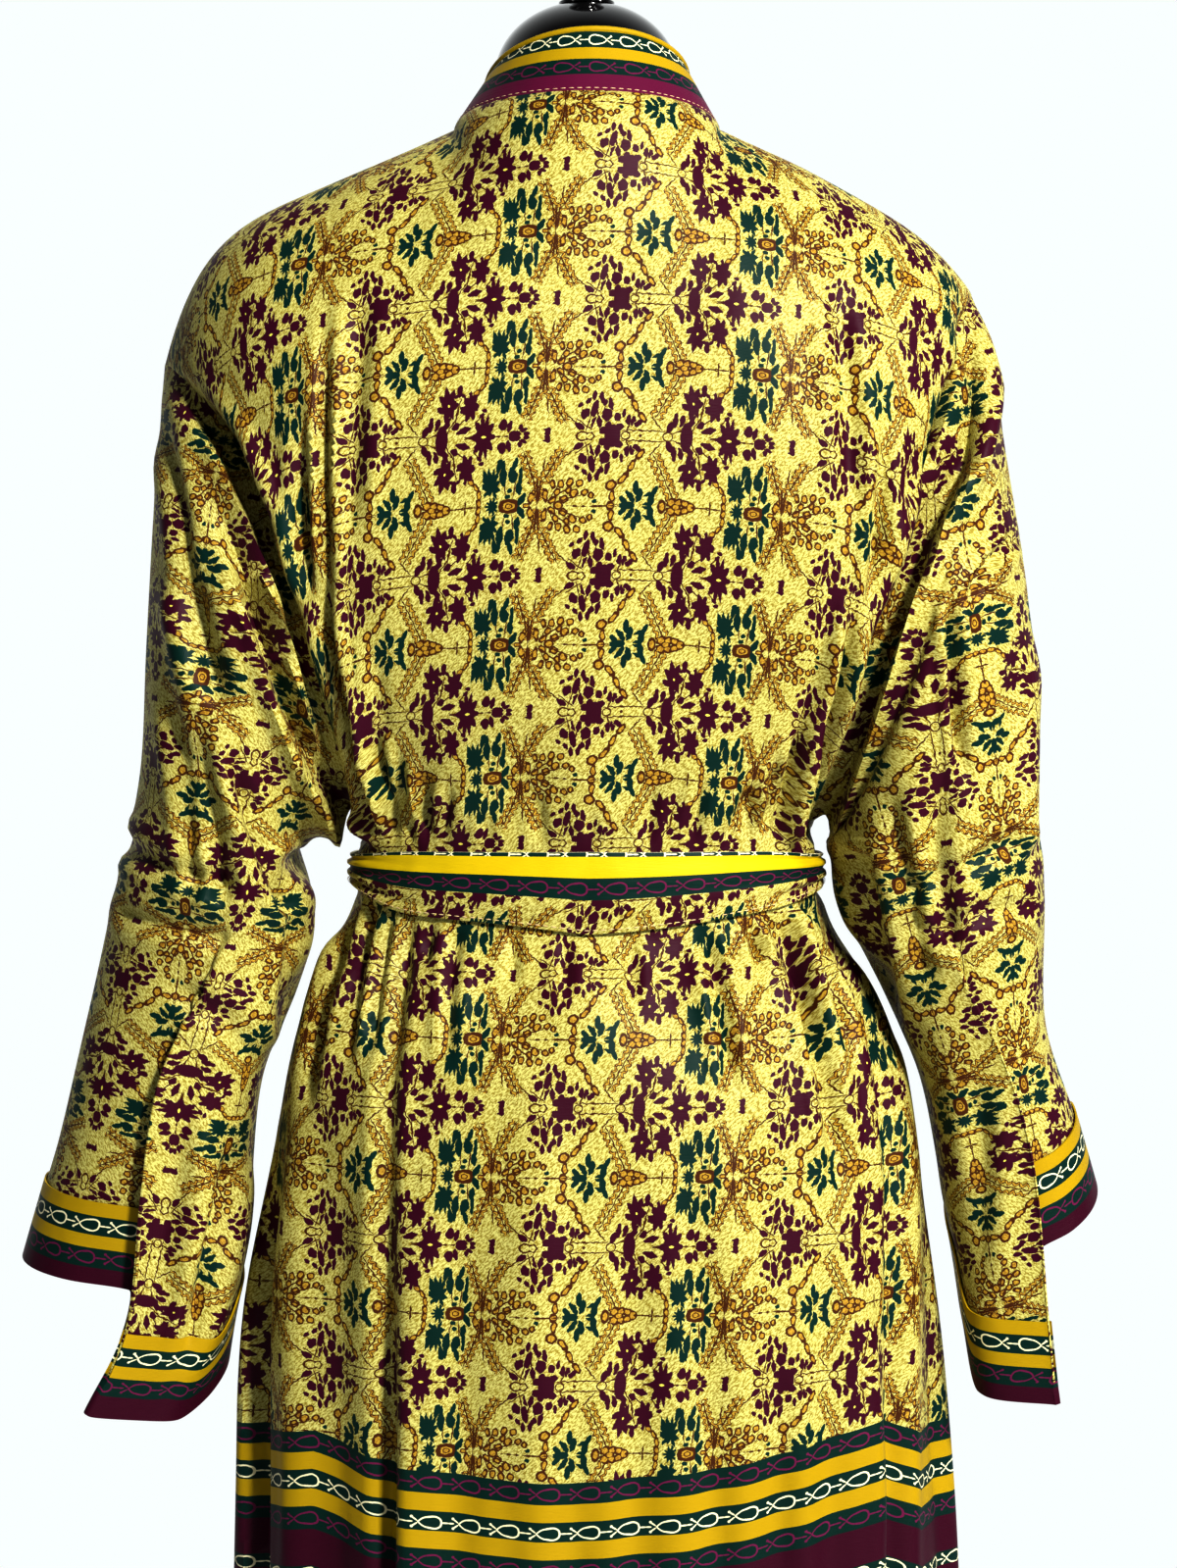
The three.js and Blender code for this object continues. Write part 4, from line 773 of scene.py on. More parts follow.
FORM_RING = [curve(FORM_Z, values) for values in (FORM_HALF, FORM_BACK, FORM_FRONT, FORM_POWER)]


def off_form(grid):
    """Moves points that lie too close to the form, or inside it, out to FORM_GAP."""
    x, y, z = grid[..., 0], grid[..., 1], grid[..., 2]
    half, back, front, power = (read(z) for read in FORM_RING)
    depth = np.where(y < 0, back, front) + FORM_GAP
    reach = (np.abs(x) / (half + FORM_GAP)) ** power + (np.abs(y) / depth) ** power
    grow = np.maximum(1, np.maximum(reach, 1e-6) ** (-1 / power))
    inside = (z > FORM_Z[0]) & (z < FORM_Z[-1]) & (reach > 0.3)
    grid[..., :2] *= np.where(inside, grow, 1)[..., None]
    return grid


def make_mesh(name, vertices, quads, **uv_layers):
    """A mesh piece from vertices in millimetres and quads, with a UV pair for each corner."""
    mesh = bpy.data.meshes.new(name)
    mesh.vertices.add(len(vertices))
    mesh.vertices.foreach_set("co", (np.asarray(vertices, np.float32) * MM).ravel())
    mesh.loops.add(quads.size)
    mesh.loops.foreach_set("vertex_index", quads.astype(np.int32).ravel())
    mesh.polygons.add(len(quads))
    mesh.polygons.foreach_set("loop_start", np.arange(0, quads.size, 4, dtype=np.int32))
    mesh.polygons.foreach_set("use_smooth", np.ones(len(quads), dtype=bool))
    mesh.update(calc_edges=True)
    for layer, values in uv_layers.items():
        data = mesh.uv_layers.new(name=layer)
        data.data.foreach_set("uv", (np.asarray(values, np.float32) * MM).ravel())
    mesh.validate()
    mesh.set_sharp_from_angle(angle=math.radians(SHELL_SHARP))
    return add_object(name, mesh)


def shell(name, surface, thickness):
    """A closed sheet of cloth about a surface's grid."""
    grid, normals = surface["grid"], surface["normals"]
    rows, columns = grid.shape[:2]
    kept = columns - 1 if surface["closed"] else columns
    sheets = [(grid + side * normals * thickness / 2)[:, :kept].reshape(-1, 3) for side in (1, -1)]
    low = rows * kept
    across, up = np.arange(columns - 1), np.arange(rows - 1)
    foot, head, first, last = 0 * across, 0 * across + rows - 1, 0 * up, 0 * up + columns - 1
    i, j = (at.ravel() for at in np.meshgrid(up, across, indexing="ij"))
    corners = [(i, j), (i, j + 1), (i + 1, j + 1), (i + 1, j)]
    # Each row holds the four corners of many quads: first vertex of the sheet, rows, columns
    sides = [
        [(0, *corner) for corner in corners],
        [(low, *corner) for corner in corners[::-1]],
        [(0, foot, across + 1), (0, foot, across), (low, foot, across), (low, foot, across + 1)],
        [(0, head, across), (0, head, across + 1), (low, head, across + 1), (low, head, across)],
        [(0, up, first), (0, up + 1, first), (low, up + 1, first), (low, up, first)],
        [(0, up + 1, last), (0, up, last), (low, up, last), (low, up + 1, last)],
    ]
    if surface["closed"]:
        sides = sides[:4]
    if surface["flip"]:
        sides = [side[::-1] for side in sides]

    def gather(read):
        return np.concatenate([np.stack([read(*corner) for corner in side], 1) for side in sides])

    return make_mesh(
        name, np.concatenate(sheets), gather(lambda start, a, b: start + a * kept + b % kept),
        Print=gather(lambda start, a, b: surface["uv"][a, b]),
        Band=gather(lambda start, a, b: surface["band"][a, b]),
    )


def laid_out(surface, grain, column, along, round_it):
    """Print places that keep their lengths on the cloth as well as they can.

    They run along the grain and across it. One column is held softly at the given
    values, and the others follow from the cloth between them (conjugate gradients).
    """
    grid, normals = surface["grid"], surface["normals"]
    lengths, wanted = [], []
    for axis in (0, 1):
        step = np.diff(grid, axis=axis)
        normal = unit(np.delete(normals, 0, axis) + np.delete(normals, -1, axis))
        down = unit(grain - (normal @ grain)[..., None] * normal)
        wanted.append(((step * down).sum(-1), (step * np.cross(normal, down)).sum(-1)))
        lengths.append(np.linalg.norm(step, axis=-1).mean())
    ratio = lengths[0] / lengths[1]
    senses = np.sign((np.diff(along, axis=0) * wanted[0][0]).mean()), np.sign(wanted[1][1].mean())
    held = np.zeros(grid.shape[:2])
    held[:, column] = HOLD

    def pull(value, goals=(0, 0)):
        total = np.zeros_like(value)
        by_row = 1 / ratio * (np.diff(value, axis=0) - goals[0])
        by_column = ratio * (np.diff(value, axis=1) - goals[1])
        total[1:] += by_row
        total[:-1] -= by_row
        total[:, 1:] += by_column
        total[:, :-1] -= by_column
        return total

    solved = []
    for k, (start, sense) in enumerate(zip((along, round_it), senses)):
        value = start.astype(float)
        rest = -pull(value, (sense * wanted[0][k], sense * wanted[1][k]))
        way, power = rest.copy(), (rest * rest).sum()
        for unused in range(MOST_ROUNDS):
            moved = pull(way) + held * way
            share = power / (way * moved).sum()
            value += share * way
            rest -= share * moved
            before, power = power, (rest * rest).sum()
            if power < SETTLED:
                break
            way = rest + power / before * way
        solved.append(value)
    return solved


# Materials

MARK_REACH = 1.3  # how far outside a mark its distance is known


class Field:
    """A value in a node tree, with arithmetic that adds nodes."""

    tree = None

    def __init__(self, socket):
        self.socket = socket

    def __abs__(self):
        return maths("ABSOLUTE", self)


SIGNS = {"add": "ADD", "sub": "SUBTRACT", "mul": "MULTIPLY", "truediv": "DIVIDE"}
for sign, operation in SIGNS.items():
    setattr(Field, f"__{sign}__", lambda one, other, name=operation: maths(name, one, other))
    setattr(Field, f"__r{sign}__", lambda one, other, name=operation: maths(name, other, one))


def plug(socket, value):
    if isinstance(value, Field):
        Field.tree.links.new(value.socket, socket)
    elif isinstance(value, tuple) and socket.type == "RGBA":
        socket.default_value = (*value, 1)
    else:
        socket.default_value = value


def plug_all(made, values):
    """Sets or links inputs, from their values in order or from a dictionary."""
    for key, value in values.items() if isinstance(values, dict) else enumerate(values):
        plug(made.inputs[key], value)
    return made


def node(kind, values=(), **settings):
    made = Field.tree.nodes.new("ShaderNode" + kind)
    for key, value in settings.items():
        setattr(made, key, value)
    return plug_all(made, values)


def field(kind, values=(), output=0, **settings):
    return Field(node(kind, values, **settings).outputs[output])


def maths(operation, *values):
    return field("Math", values, operation=operation)


def vectors(operation, *values, output=0):
    return field("VectorMath", values, output, operation=operation)


def vector(x, y):
    return field("CombineXYZ", (x, y))


def parts(value, kind="SeparateXYZ", count=2):
    return [Field(socket) for socket in node(kind, [value]).outputs[:count]]


def placed(place, x, y, long, wide, turn=0.0):
    """The plane as seen from a mark: its middle at 0, its ends at 1."""
    values = {"Vector": place, "Location": (x, y, 0), "Rotation": (0, 0, math.radians(turn)),
              "Scale": (long, wide, 1)}
    return field("Mapping", values, vector_type="TEXTURE")


def length(value):
    return vectors("LENGTH", value, output="Value")


def joined(operation, fields):
    """The least or the most of some values, which may be made one by one on the way."""
    fields = iter(fields)
    found = next(fields)
    for other in fields:
        found = maths(operation, found, other)
    return found


def ovals(place, marks):
    """Distance from the middle of the nearest oval mark, 1 at its edge and at most MARK_REACH."""
    def ball(x, y, long, wide, turn):
        seen = placed(place, x, y, long * MARK_REACH, wide * MARK_REACH, turn)
        return field("TexGradient", {"Vector": seen}, "Fac", gradient_type="SPHERICAL")

    return (1 - joined("MAXIMUM", (ball(*mark) for mark in marks))) * MARK_REACH


def map_range(value, start, end, first, last, **settings):
    values = {"Value": value, "From Min": start, "From Max": end, "To Min": first, "To Max": last}
    return field("MapRange", values, **settings)


def step_down(value, start, end):
    """1 below start, 0 above end."""
    return map_range(value, start, end, 1, 0, interpolation_type="SMOOTHSTEP")


def blend(share, first, second):
    return field("Mix", {0: share, 6: first, 7: second}, 2, data_type="RGBA")


def noise(place, scale, detail=2.0, roughness=0.5, dimensions="2D", output="Fac"):
    values = {"Vector": place, "Scale": scale, "Detail": detail, "Roughness": roughness}
    return field("TexNoise", values, output, noise_dimensions=dimensions)


def read_curve(value, rows):
    """A Float Curve through (place, height) rows, both from 0 to 1."""
    made = node("FloatCurve", {"Value": value})
    line = made.mapping.curves[0]
    line.points[0].location = rows[0]
    line.points[1].location = rows[-1]
    for row in rows[1:-1]:
        line.points.new(*row)
    for point in line.points:
        point.handle_type = "VECTOR"
    made.mapping.update()
    return Field(made.outputs[0])


def blossom(place, x, y, long, wide, turn, tips, whole=True):
    """A jagged flower head: below 1 inside. Its outline has a tip at each (degrees, reach)."""
    seen = placed(place, x, y, long, wide, turn)
    across, up = parts(seen)
    angle = maths("ARCTAN2", up, across)
    share = angle / FULL + 0.5 if whole else abs(angle) / math.pi
    start, span = (-180, 360) if whole else (0, 180)
    rows = []
    for (degrees, reach), (after, unused) in zip(tips, [*tips[1:], (tips[0][0] + span, 0)]):
        rows.append(((degrees - start) / span, reach / TIP_MOST))
        middle = (degrees + after) / 2
        if middle < start + span:
            rows.append(((middle - start) / span, NOTCH * reach / TIP_MOST))
    rows = [(0, rows[0][1]), *[row for row in rows if 0 < row[0] < 1], (1, rows[-1][1])]
    return length(seen) / (read_curve(share, rows) * TIP_MOST)


def new_group(name, takes, gives):
    """A node group from {label: kind} of its inputs and outputs."""
    group = bpy.data.node_groups.new(name, "ShaderNodeTree")
    for way, sockets in (("INPUT", takes), ("OUTPUT", gives)):
        for label, kind in sockets.items():
            group.interface.new_socket(label, in_out=way, socket_type="NodeSocket" + kind)
    Field.tree = group
    entry, end = group.nodes.new("NodeGroupInput"), group.nodes.new("NodeGroupOutput")
    return group, [Field(socket) for socket in entry.outputs[:len(takes)]], end


# The print repeats every REPEAT along and mirrors about two kinds of axis, ROW apart.
# Marks are ovals: along, off the axis, half length, half width and turn in degrees
REPEAT, ROW = 124.0, 35.2
FIRST_END, SECOND_END = 110.4, 136.2
WAVER = 1.5

TEAL_MARKS = [  # beside the first kind of axis
    (-5.4, 20.4, 2.9, 1.2, 80), (-3.4, 20.2, 2.4, 1.0, 95), (-3.2, 14.6, 3.7, 1.6, 96),
    (2.2, 20.6, 3.4, 1.0, 72), (1.5, 15.4, 3.6, 1.9, 100), (5.5, 12.8, 5.8, 0.9, 88),
    (5.1, 8.8, 2.7, 1.5, 92), (7.0, 3.4, 3.0, 1.3, 62), (0.4, 8.0, 1.0, 0.9, 0),
    (-0.7, 4.9, 1.2, 1.0, 0), (43.5, 2.6, 1.0, 0.9, 0),
    (64.2, 8.8, 3.0, 1.3, 95), (66.2, 5.2, 3.1, 1.4, 78), (60.4, 5.7, 1.9, 1.0, 120),
    (62.3, 3.9, 2.4, 1.1, 116), (58.4, 2.5, 2.7, 1.2, 140), (60.2, 0.5, 3.4, 1.3, 0),
    (73.2, 6.7, 3.7, 1.2, 62), (70.7, 5.7, 2.2, 0.9, 20), (72.2, 2.8, 2.7, 1.5, 80),
    (70.4, 1.0, 1.7, 0.9, 15),
]
TEAL_LEAF = (-8.9, 9.9, 6.0, 7.4, 0, [
    (-170, 0.75), (-128, 0.85), (-96, 0.6), (-60, 0.95), (-20, 0.8), (25, 0.8), (62, 1.25),
    (84, 1.3), (103, 1.35), (124, 1.5), (150, 1.05), (172, 0.95)])
TEAL_LOBE = (-7.8, 0, 3.6, 4.6, 0, [
    (-150, 0.9), (-115, 1.0), (-80, 1.0), (-40, 0.9), (0, 0.7), (40, 0.9), (80, 1.0), (115, 1.0),
    (150, 0.9), (179, 1.05)])

MAROON_MARKS = [  # beside the second kind of axis
    (50.6, 0.4, 3.4, 4.4, 0), (46.2, 3.0, 1.9, 1.5, 20), (48.0, 5.2, 1.7, 1.4, 90),
    (53.4, 4.0, 2.3, 1.6, 35), (33.8, 5.0, 2.4, 1.2, -25), (36.2, 11.4, 2.4, 1.8, 55),
    (33.6, 15.8, 1.4, 0.9, 40), (40.9, 13.9, 3.5, 1.5, 80), (37.6, 18.0, 1.6, 0.9, 60),
    (40.3, 20.6, 2.0, 0.9, 85), (44.2, 19.4, 2.5, 1.0, 105), (47.3, 10.7, 2.7, 2.2, 90),
    (48.9, 16.4, 2.7, 1.1, 105), (45.9, 16.9, 1.4, 0.9, 85), (40.4, 6.8, 2.5, 0.8, 70),
    (43.6, 7.1, 2.7, 1.0, 100), (52.6, 9.4, 1.8, 1.5, 90), (55.8, 11.4, 1.9, 0.8, 85),
    (58.2, 8.0, 2.1, 1.0, 80), (60.6, 7.4, 2.1, 1.0, 75), (63.3, 6.2, 2.1, 1.2, 50),
    (79.6, 4.9, 2.5, 1.4, 70), (82.1, 8.5, 3.3, 1.1, 85), (85.6, 8.2, 2.8, 1.1, 75),
    (88.0, 0.0, 6.1, 2.5, 90), (90.3, 8.3, 2.8, 1.3, 68), (94.9, 6.4, 1.7, 1.3, 50),
    (99.2, 3.9, 3.2, 1.4, 18), (119.2, 5.7, 2.3, 1.8, 70), (122.5, 5.0, 2.5, 1.1, 78),
    (125.2, 0.8, 2.4, 1.7, 10), (128.2, 4.5, 1.3, 0.9, 60), (129.7, 2.8, 1.4, 0.9, 40),
    (131.2, 0.8, 1.3, 1.0, 0), (18.0, 1.8, 2.0, 1.2, 85), (17.4, 2.9, 1.5, 0.7, 0),
    (95.9, 24.0, 2.6, 1.1, 90), (94.2, 21.6, 1.4, 0.9, 45), (98.0, 21.4, 1.4, 0.9, -45),
    (107.9, 10.9, 1.4, 0.8, 40), (109.3, 13.5, 1.3, 0.9, 0),
]
BIG_BLOSSOM = (109.6, 0, 5.4, 9.0, 0, [
    (0, 1.0), (40, 1.05), (74, 1.2), (101, 1.15), (136, 1.1), (180, 1.1)])
SIDE_BLOSSOM = (90.4, 17.6, 4.4, 7.2, 6, [
    (-165, 1.1), (-110, 1.15), (-62, 1.1), (-5, 1.05), (50, 1.1), (98, 1.2), (146, 1.1)])
NEAR_BLOSSOM = (101.9, 15.9, 4.3, 7.4, -6, [
    (-160, 1.05), (-104, 1.0), (-56, 1.0), (2, 0.95), (56, 0.95), (106, 1.0), (152, 0.95)])

HEARTS = [(90.6, 17.4, 0.7, 0.7, 0), (109.6, 0, 1.1, 0.6, 0)]
TIP_MOST, NOTCH = 1.6, 0.60  # of blossoms: reach of the longest tip, depth between two tips

# Buds: ochre ovals with a brown outline, and brown stems
BUDS = [  # beside the first kind of axis
    (0.6, 0.0, 4.3, 2.9, 0), (22.2, 10.6, 1.9, 1.3, 110), (26.2, 10.8, 1.8, 1.3, 95),
    (30.6, 11.9, 1.9, 1.4, 80), (35.6, 11.6, 1.8, 1.5, 60), (38.4, 7.0, 1.9, 1.4, 30),
    (41.7, 5.6, 1.4, 1.2, 60), (28.2, 3.4, 1.9, 1.6, 20), (33.0, 6.4, 2.1, 1.5, 40),
    (30.2, 7.9, 1.7, 1.2, 60), (24.6, 6.6, 1.7, 1.2, 80), (22.4, 2.6, 2.0, 1.2, 40),
    (25.4, 0.2, 2.0, 1.4, 0), (18.7, 5.2, 2.8, 1.3, 100), (11.6, 3.9, 2.7, 1.3, 80),
    (9.4, 0.0, 1.3, 1.2, 0), (51.3, 10.3, 2.4, 2.1, 20), (52.3, 4.9, 2.6, 1.3, 90),
    (51.6, 0.3, 1.7, 1.4, 0), (57.3, 13.6, 3.1, 1.3, 48), (61.2, 20.0, 3.1, 1.3, 62),
    (65.2, 26.0, 2.8, 1.3, 52), (77.9, 0.0, 1.8, 2.9, 0), (82.6, 2.2, 2.1, 1.8, 30),
    (86.0, 2.3, 2.0, 1.7, -20), (89.4, 1.9, 1.9, 1.5, 20), (85.0, 0.0, 2.0, 1.3, 0),
    (92.4, 0.8, 2.0, 1.4, 0), (109.2, 1.8, 2.2, 1.1, 90), (109.1, 5.9, 2.1, 1.0, 100),
    (107.2, 9.8, 2.1, 1.0, 125), (104.5, 13.2, 2.1, 1.1, 118),
]
STEMS = [  # beside the first kind of axis
    (42.0, 0.0, 14.5, 0.34, 0), (101.0, 0.0, 8.0, 0.34, 0), (102.2, 1.2, 2.6, 0.34, 82),
    (14.3, 6.5, 7.0, 0.5, 93), (15.8, 7.5, 6.5, 0.5, 87), (12.9, 9.0, 5.0, 0.4, 97),
    (25.5, 5.6, 8.2, 0.34, 33), (22.8, 6.2, 6.0, 0.34, 62), (30.0, 3.6, 9.0, 0.34, 18),
    (-1.8, 8.6, 5.2, 0.34, 97), (2.8, 8.0, 5.0, 0.34, 84), (16.9, 19.5, 5.0, 0.34, 78),
    (116.0, 0.0, 5.0, 0.34, 0),
]
OTHER_STEMS = [  # beside the second kind of axis
    (67.0, 2.6, 11.5, 0.36, 0), (72.6, 6.6, 4.8, 0.36, -48), (38.8, 9.0, 7.0, 0.36, 76),
    (43.0, 9.0, 7.5, 0.36, 98), (36.0, 6.0, 5.0, 0.36, -38), (29.5, 8.8, 5.0, 0.36, -40),
    (104.0, 0.3, 4.5, 0.5, 0), (117.0, 0.0, 5.5, 0.4, 0), (95.4, 13.2, 7.5, 0.4, 80),
    (92.0, 5.8, 5.6, 0.4, 60), (98.0, 8.6, 5.6, 0.36, 35), (127.6, 2.2, 3.0, 0.3, 50),
    (46.0, 13.5, 4.5, 0.36, 88), (58.5, 5.0, 3.4, 0.34, 75), (84.4, 3.0, 4.0, 0.4, 20),
    (106.2, 9.0, 3.6, 0.34, 60), (64.6, 0.0, 0.9, 1.0, 0),
]
OTHER_RINGS = [(35.2, 0.0, 3.3, 2.5, 0), (39.4, 0.0, 2.5, 2.1, 0), (57.4, 0.0, 2.4, 2.3, 0),
               (78.6, 0.0, 2.6, 2.2, 0)]
# Branches with leaflets: root, direction, length and half width of the leaf rows
BRANCHES = [
    (13.2, 11.0, 113, 17.5, 1.7), (16.6, 11.5, 60, 19.5, 1.7), (83.6, 3.6, 118, 25.5, 2.2),
    (15.0, 2.0, 92, 10.5, 1.5),
]
LEAFLET = 3.7  # spacing of leaflets along a branch

MAROON, TEAL = (0.055, 0.0035, 0.019), (0.0030, 0.030, 0.023)
OCHRE, OCHRE_PALE, BROWN = (0.30, 0.165, 0.022), (0.50, 0.34, 0.045), (0.075, 0.022, 0.005)
GOLD, CREAM, PURPLE = (0.43, 0.295, 0.005), (0.80, 0.76, 0.52), (0.165, 0.014, 0.075)
PLUM, GOLD_BRIGHT = (0.13, 0.0095, 0.05), (0.60, 0.455, 0.006)
# The palest yellow is partly the yarn's pale slubs and partly painted glints of the satin's shine
YELLOW_DEEP, YELLOW, YELLOW_PALE_GLINT = (0.36, 0.285, 0.030), (0.70, 0.65, 0.130), (0.95, 0.95, 0.39)

CHAIN_PITCH = 20.5
LOOP = [(0, 0.62), (0.12, 0.60), (0.25, 0.50), (0.4, 0.40), (0.55, 0.36), (0.7, 0.40), (0.82, 0.52),
        (0.92, 0.66), (1, 0.82)]
LOOP_TIPS = [(-6.6, 1.5, 1.9, 0.45, -35), (-7.9, 2.5, 0.75, 0.7, 0), (-8.9, 0, 1.6, 0.45, 0),
             (8.6, 0, 2.2, 0.45, 0)]


def print_group():
    """The flower print: takes a place in metres, gives its colour and two of its parts.

    Distances are 1 at a mark's edge, and each edge fades between the two that are given.
    """
    group, (place,), end = new_group(
        "flower print", {"Place": "Vector"},
        {"Color": "Color", "Maroon": "Float", "Outline": "Float"})
    u, v = parts(place)
    u, v = u * 1000, v * 1000
    axis_gap = maths("PINGPONG", v, ROW)
    first = vector(maths("WRAP", u, FIRST_END, FIRST_END - REPEAT), axis_gap)
    second = vector(maths("WRAP", u, SECOND_END, SECOND_END - REPEAT), ROW - axis_gap)
    # A small waver makes leaf edges uneven; it is the same in each repeat
    waver = noise(first, 0.42, 1.0, output="Color")
    shift = vectors("MULTIPLY_ADD", waver, (WAVER, WAVER, 0), (-WAVER / 2, -WAVER / 2, 0))
    first, second = (vectors("ADD", start, shift) for start in (first, second))

    # Fine mottling of the ground: the dark specks are the yarn's slubs; the pale ones are partly
    # pale slubs and partly painted satin glints
    fibres_and_glints = noise(vector((u + v) * 0.42, (u - v) * 0.95), 0.8, 3.0, 0.75)
    cloud = noise(vector(u * 0.25, v), 0.10)
    speck = step_down(fibres_and_glints, 0.40, 0.58)
    ground = blend(cloud * 0.35, blend(speck, YELLOW_PALE_GLINT, YELLOW_DEEP), YELLOW)

    bud_gap = ovals(first, BUDS)
    leaf_gaps = []
    for x, y, turn, long, wide in BRANCHES:
        along, off = parts(placed(first, x, y, 1, 1, turn))
        within = maths("PINGPONG", along + 0.2, LEAFLET / 2)
        leaf = length(placed(vector(within, abs(off)), 0.8, wide, 1.75, 0.62, 48))
        outside = maths("GREATER_THAN", abs(along - long / 2), long / 2)
        leaf_gaps.append(leaf + outside * 9)
    bud_gap = maths("MINIMUM", bud_gap, joined("MINIMUM", leaf_gaps))
    ring_gap = abs(ovals(second, OTHER_RINGS) - 0.86)
    eye = abs(length(placed(first, 0.6, 0, 2.0, 1.3)) - 0.8)
    stem_gap = maths("MINIMUM", ovals(first, STEMS), ovals(second, OTHER_STEMS))
    branch_stems = ovals(first, [
        (x + math.cos(math.radians(turn)) * long / 2, y + math.sin(math.radians(turn)) * long / 2,
         long / 2, 0.36, turn)
        for x, y, turn, long, wide in BRANCHES
    ])
    ochre = step_down(bud_gap, 1.08, 1.16)
    lines = ((abs(bud_gap - 1.0), 0.24, 0.34), (stem_gap, 0.9, 1.15), (ring_gap, 0.13, 0.2),
             (eye, 0.16, 0.24), (branch_stems, 1.0, 1.28))
    outline = joined("MAXIMUM", (step_down(*line) for line in lines))

    teal_heads = joined("MINIMUM", [blossom(first, *TEAL_LEAF), blossom(first, *TEAL_LOBE)])
    teal_gap = maths("MINIMUM", teal_heads * 1.12, ovals(first, TEAL_MARKS))
    maroon_heads = joined("MINIMUM", [
        blossom(second, *BIG_BLOSSOM, whole=False), blossom(second, *SIDE_BLOSSOM),
        blossom(second, *NEAR_BLOSSOM),
    ])
    maroon_gap = maths("MINIMUM", maroon_heads * 1.06, ovals(second, MAROON_MARKS))
    hearts = ovals(second, HEARTS)
    colour = blend(ochre, ground, blend(speck, OCHRE_PALE, OCHRE))
    colour = blend(outline, colour, BROWN)
    colour = blend(step_down(teal_gap, 1.14, 1.22), colour, TEAL)
    maroon = step_down(maroon_gap, 1.18, 1.26)
    colour = blend(maroon, colour, MAROON)
    colour = blend(step_down(hearts, 0.9, 1.1), colour, YELLOW)
    plug_all(end, (colour, maroon, outline))
    return group


def chain_group():
    """A chain of loops along a stripe: takes millimetres along and off its middle line."""
    group, (along, off), end = new_group(
        "loop chain", {"Along": "Float", "Off": "Float"}, {"Line": "Float"})
    place = vector(maths("WRAP", along, CHAIN_PITCH / 2, -CHAIN_PITCH / 2), abs(off))
    seen = placed(place, 1.8, 0, 1, 1)
    across, up = parts(seen)
    share = maths("ARCTAN2", up, across) / math.pi
    loop = abs(length(seen) - read_curve(share, LOOP) * 8)
    tips = ovals(place, LOOP_TIPS)
    plug(end.inputs[0], maths("MAXIMUM", step_down(loop, 0.42, 0.62), step_down(tips, 0.85, 1.15)))
    return group


def use_group(group, *values):
    made = node("Group")
    made.node_tree = group
    return [Field(socket) for socket in plug_all(made, values).outputs]


# Stripes up from the hem, down to the cuff's edge or across a band: where each starts
# in millimetres, its ground, and the colour of the loop chain on it
HEM_STRIPES = [
    (0, MAROON, None), (10, TEAL, PURPLE), (21.5, GOLD, None), (30, TEAL, CREAM), (40, GOLD, None),
    (49, "flowers", None), (147, MAROON, None), (151, TEAL, CREAM), (159, MAROON, None),
    (178.5, TEAL, PURPLE), (190, GOLD, None), (199, TEAL, CREAM), (209, GOLD, None),
    (218.5, TEAL, PURPLE), (230, None, None),
]
BAND_STRIPES = [
    (0, PLUM, None), (10.5, TEAL, PURPLE), (20.5, GOLD, None), (28, TEAL, CREAM),
    (38.5, GOLD, None), (60, GOLD, None),
]
CUFF_STRIPES = [
    (0, GOLD, None), (7.4, TEAL, CREAM), (17.6, GOLD, None), (24.6, TEAL, PURPLE),
    (35, MAROON, None), (60, MAROON, None),
]
SASH_STRIPES = [
    (-20, CREAM, None), (0, TEAL, CREAM), (2.2, GOLD_BRIGHT, None), (13.2, TEAL, PURPLE),
    (24.5, None, None),
]

LAST_RUN = 10  # taken as the width of a table's last stripe

WARM, MILD = (1, 0.99, 0.96), (1, 0.99, 0.97)
LIGHTS = {  # place, height of its target, size, power, colour, and whether it shows as a reflection
    "key": ((1.35, -2.6, 2.7), 1.05, (0.4, 0.4), 200, WARM, True),
    "left": ((-2.3, -1.4, 1.5), 1.0, (0.3, 1.4), 3, MILD, True),
    "right": ((2.3, -1.4, 1.7), 1.0, (0.3, 1.4), 28, MILD, True),
    "front": ((-0.4, 2.4, 3.1), 1.0, (0.8, 0.5), 60, MILD, False),
}
CUT = {  # flat width and length in metres, and the area where it isn't a rectangle
    "back": (0.60, 0.935, 0.47),
    "front_left": (0.29, 0.93, 0.225), "front_right": (0.29, 0.93, 0.225),
    "sleeve_left": (0.50, 0.48, 0.196), "sleeve_right": (0.50, 0.45, 0.184),
    "neckband": (2.2, 0.044, None),
    "cuff_left": (0.42, 0.044, None), "cuff_right": (0.38, 0.044, None),
}


def steps(value, rows):
    """Constant colours from each (place, colour) row on."""
    made = node("ValToRGB", [value])
    made.color_ramp.interpolation = "CONSTANT"
    elements = made.color_ramp.elements
    elements.remove(elements[1])
    elements[0].position, elements[0].color = rows[0][0], (*rows[0][1], 1)
    for place, colour in rows[1:]:
        elements.new(place).color = (*colour, 1)
    return Field(made.outputs[0])


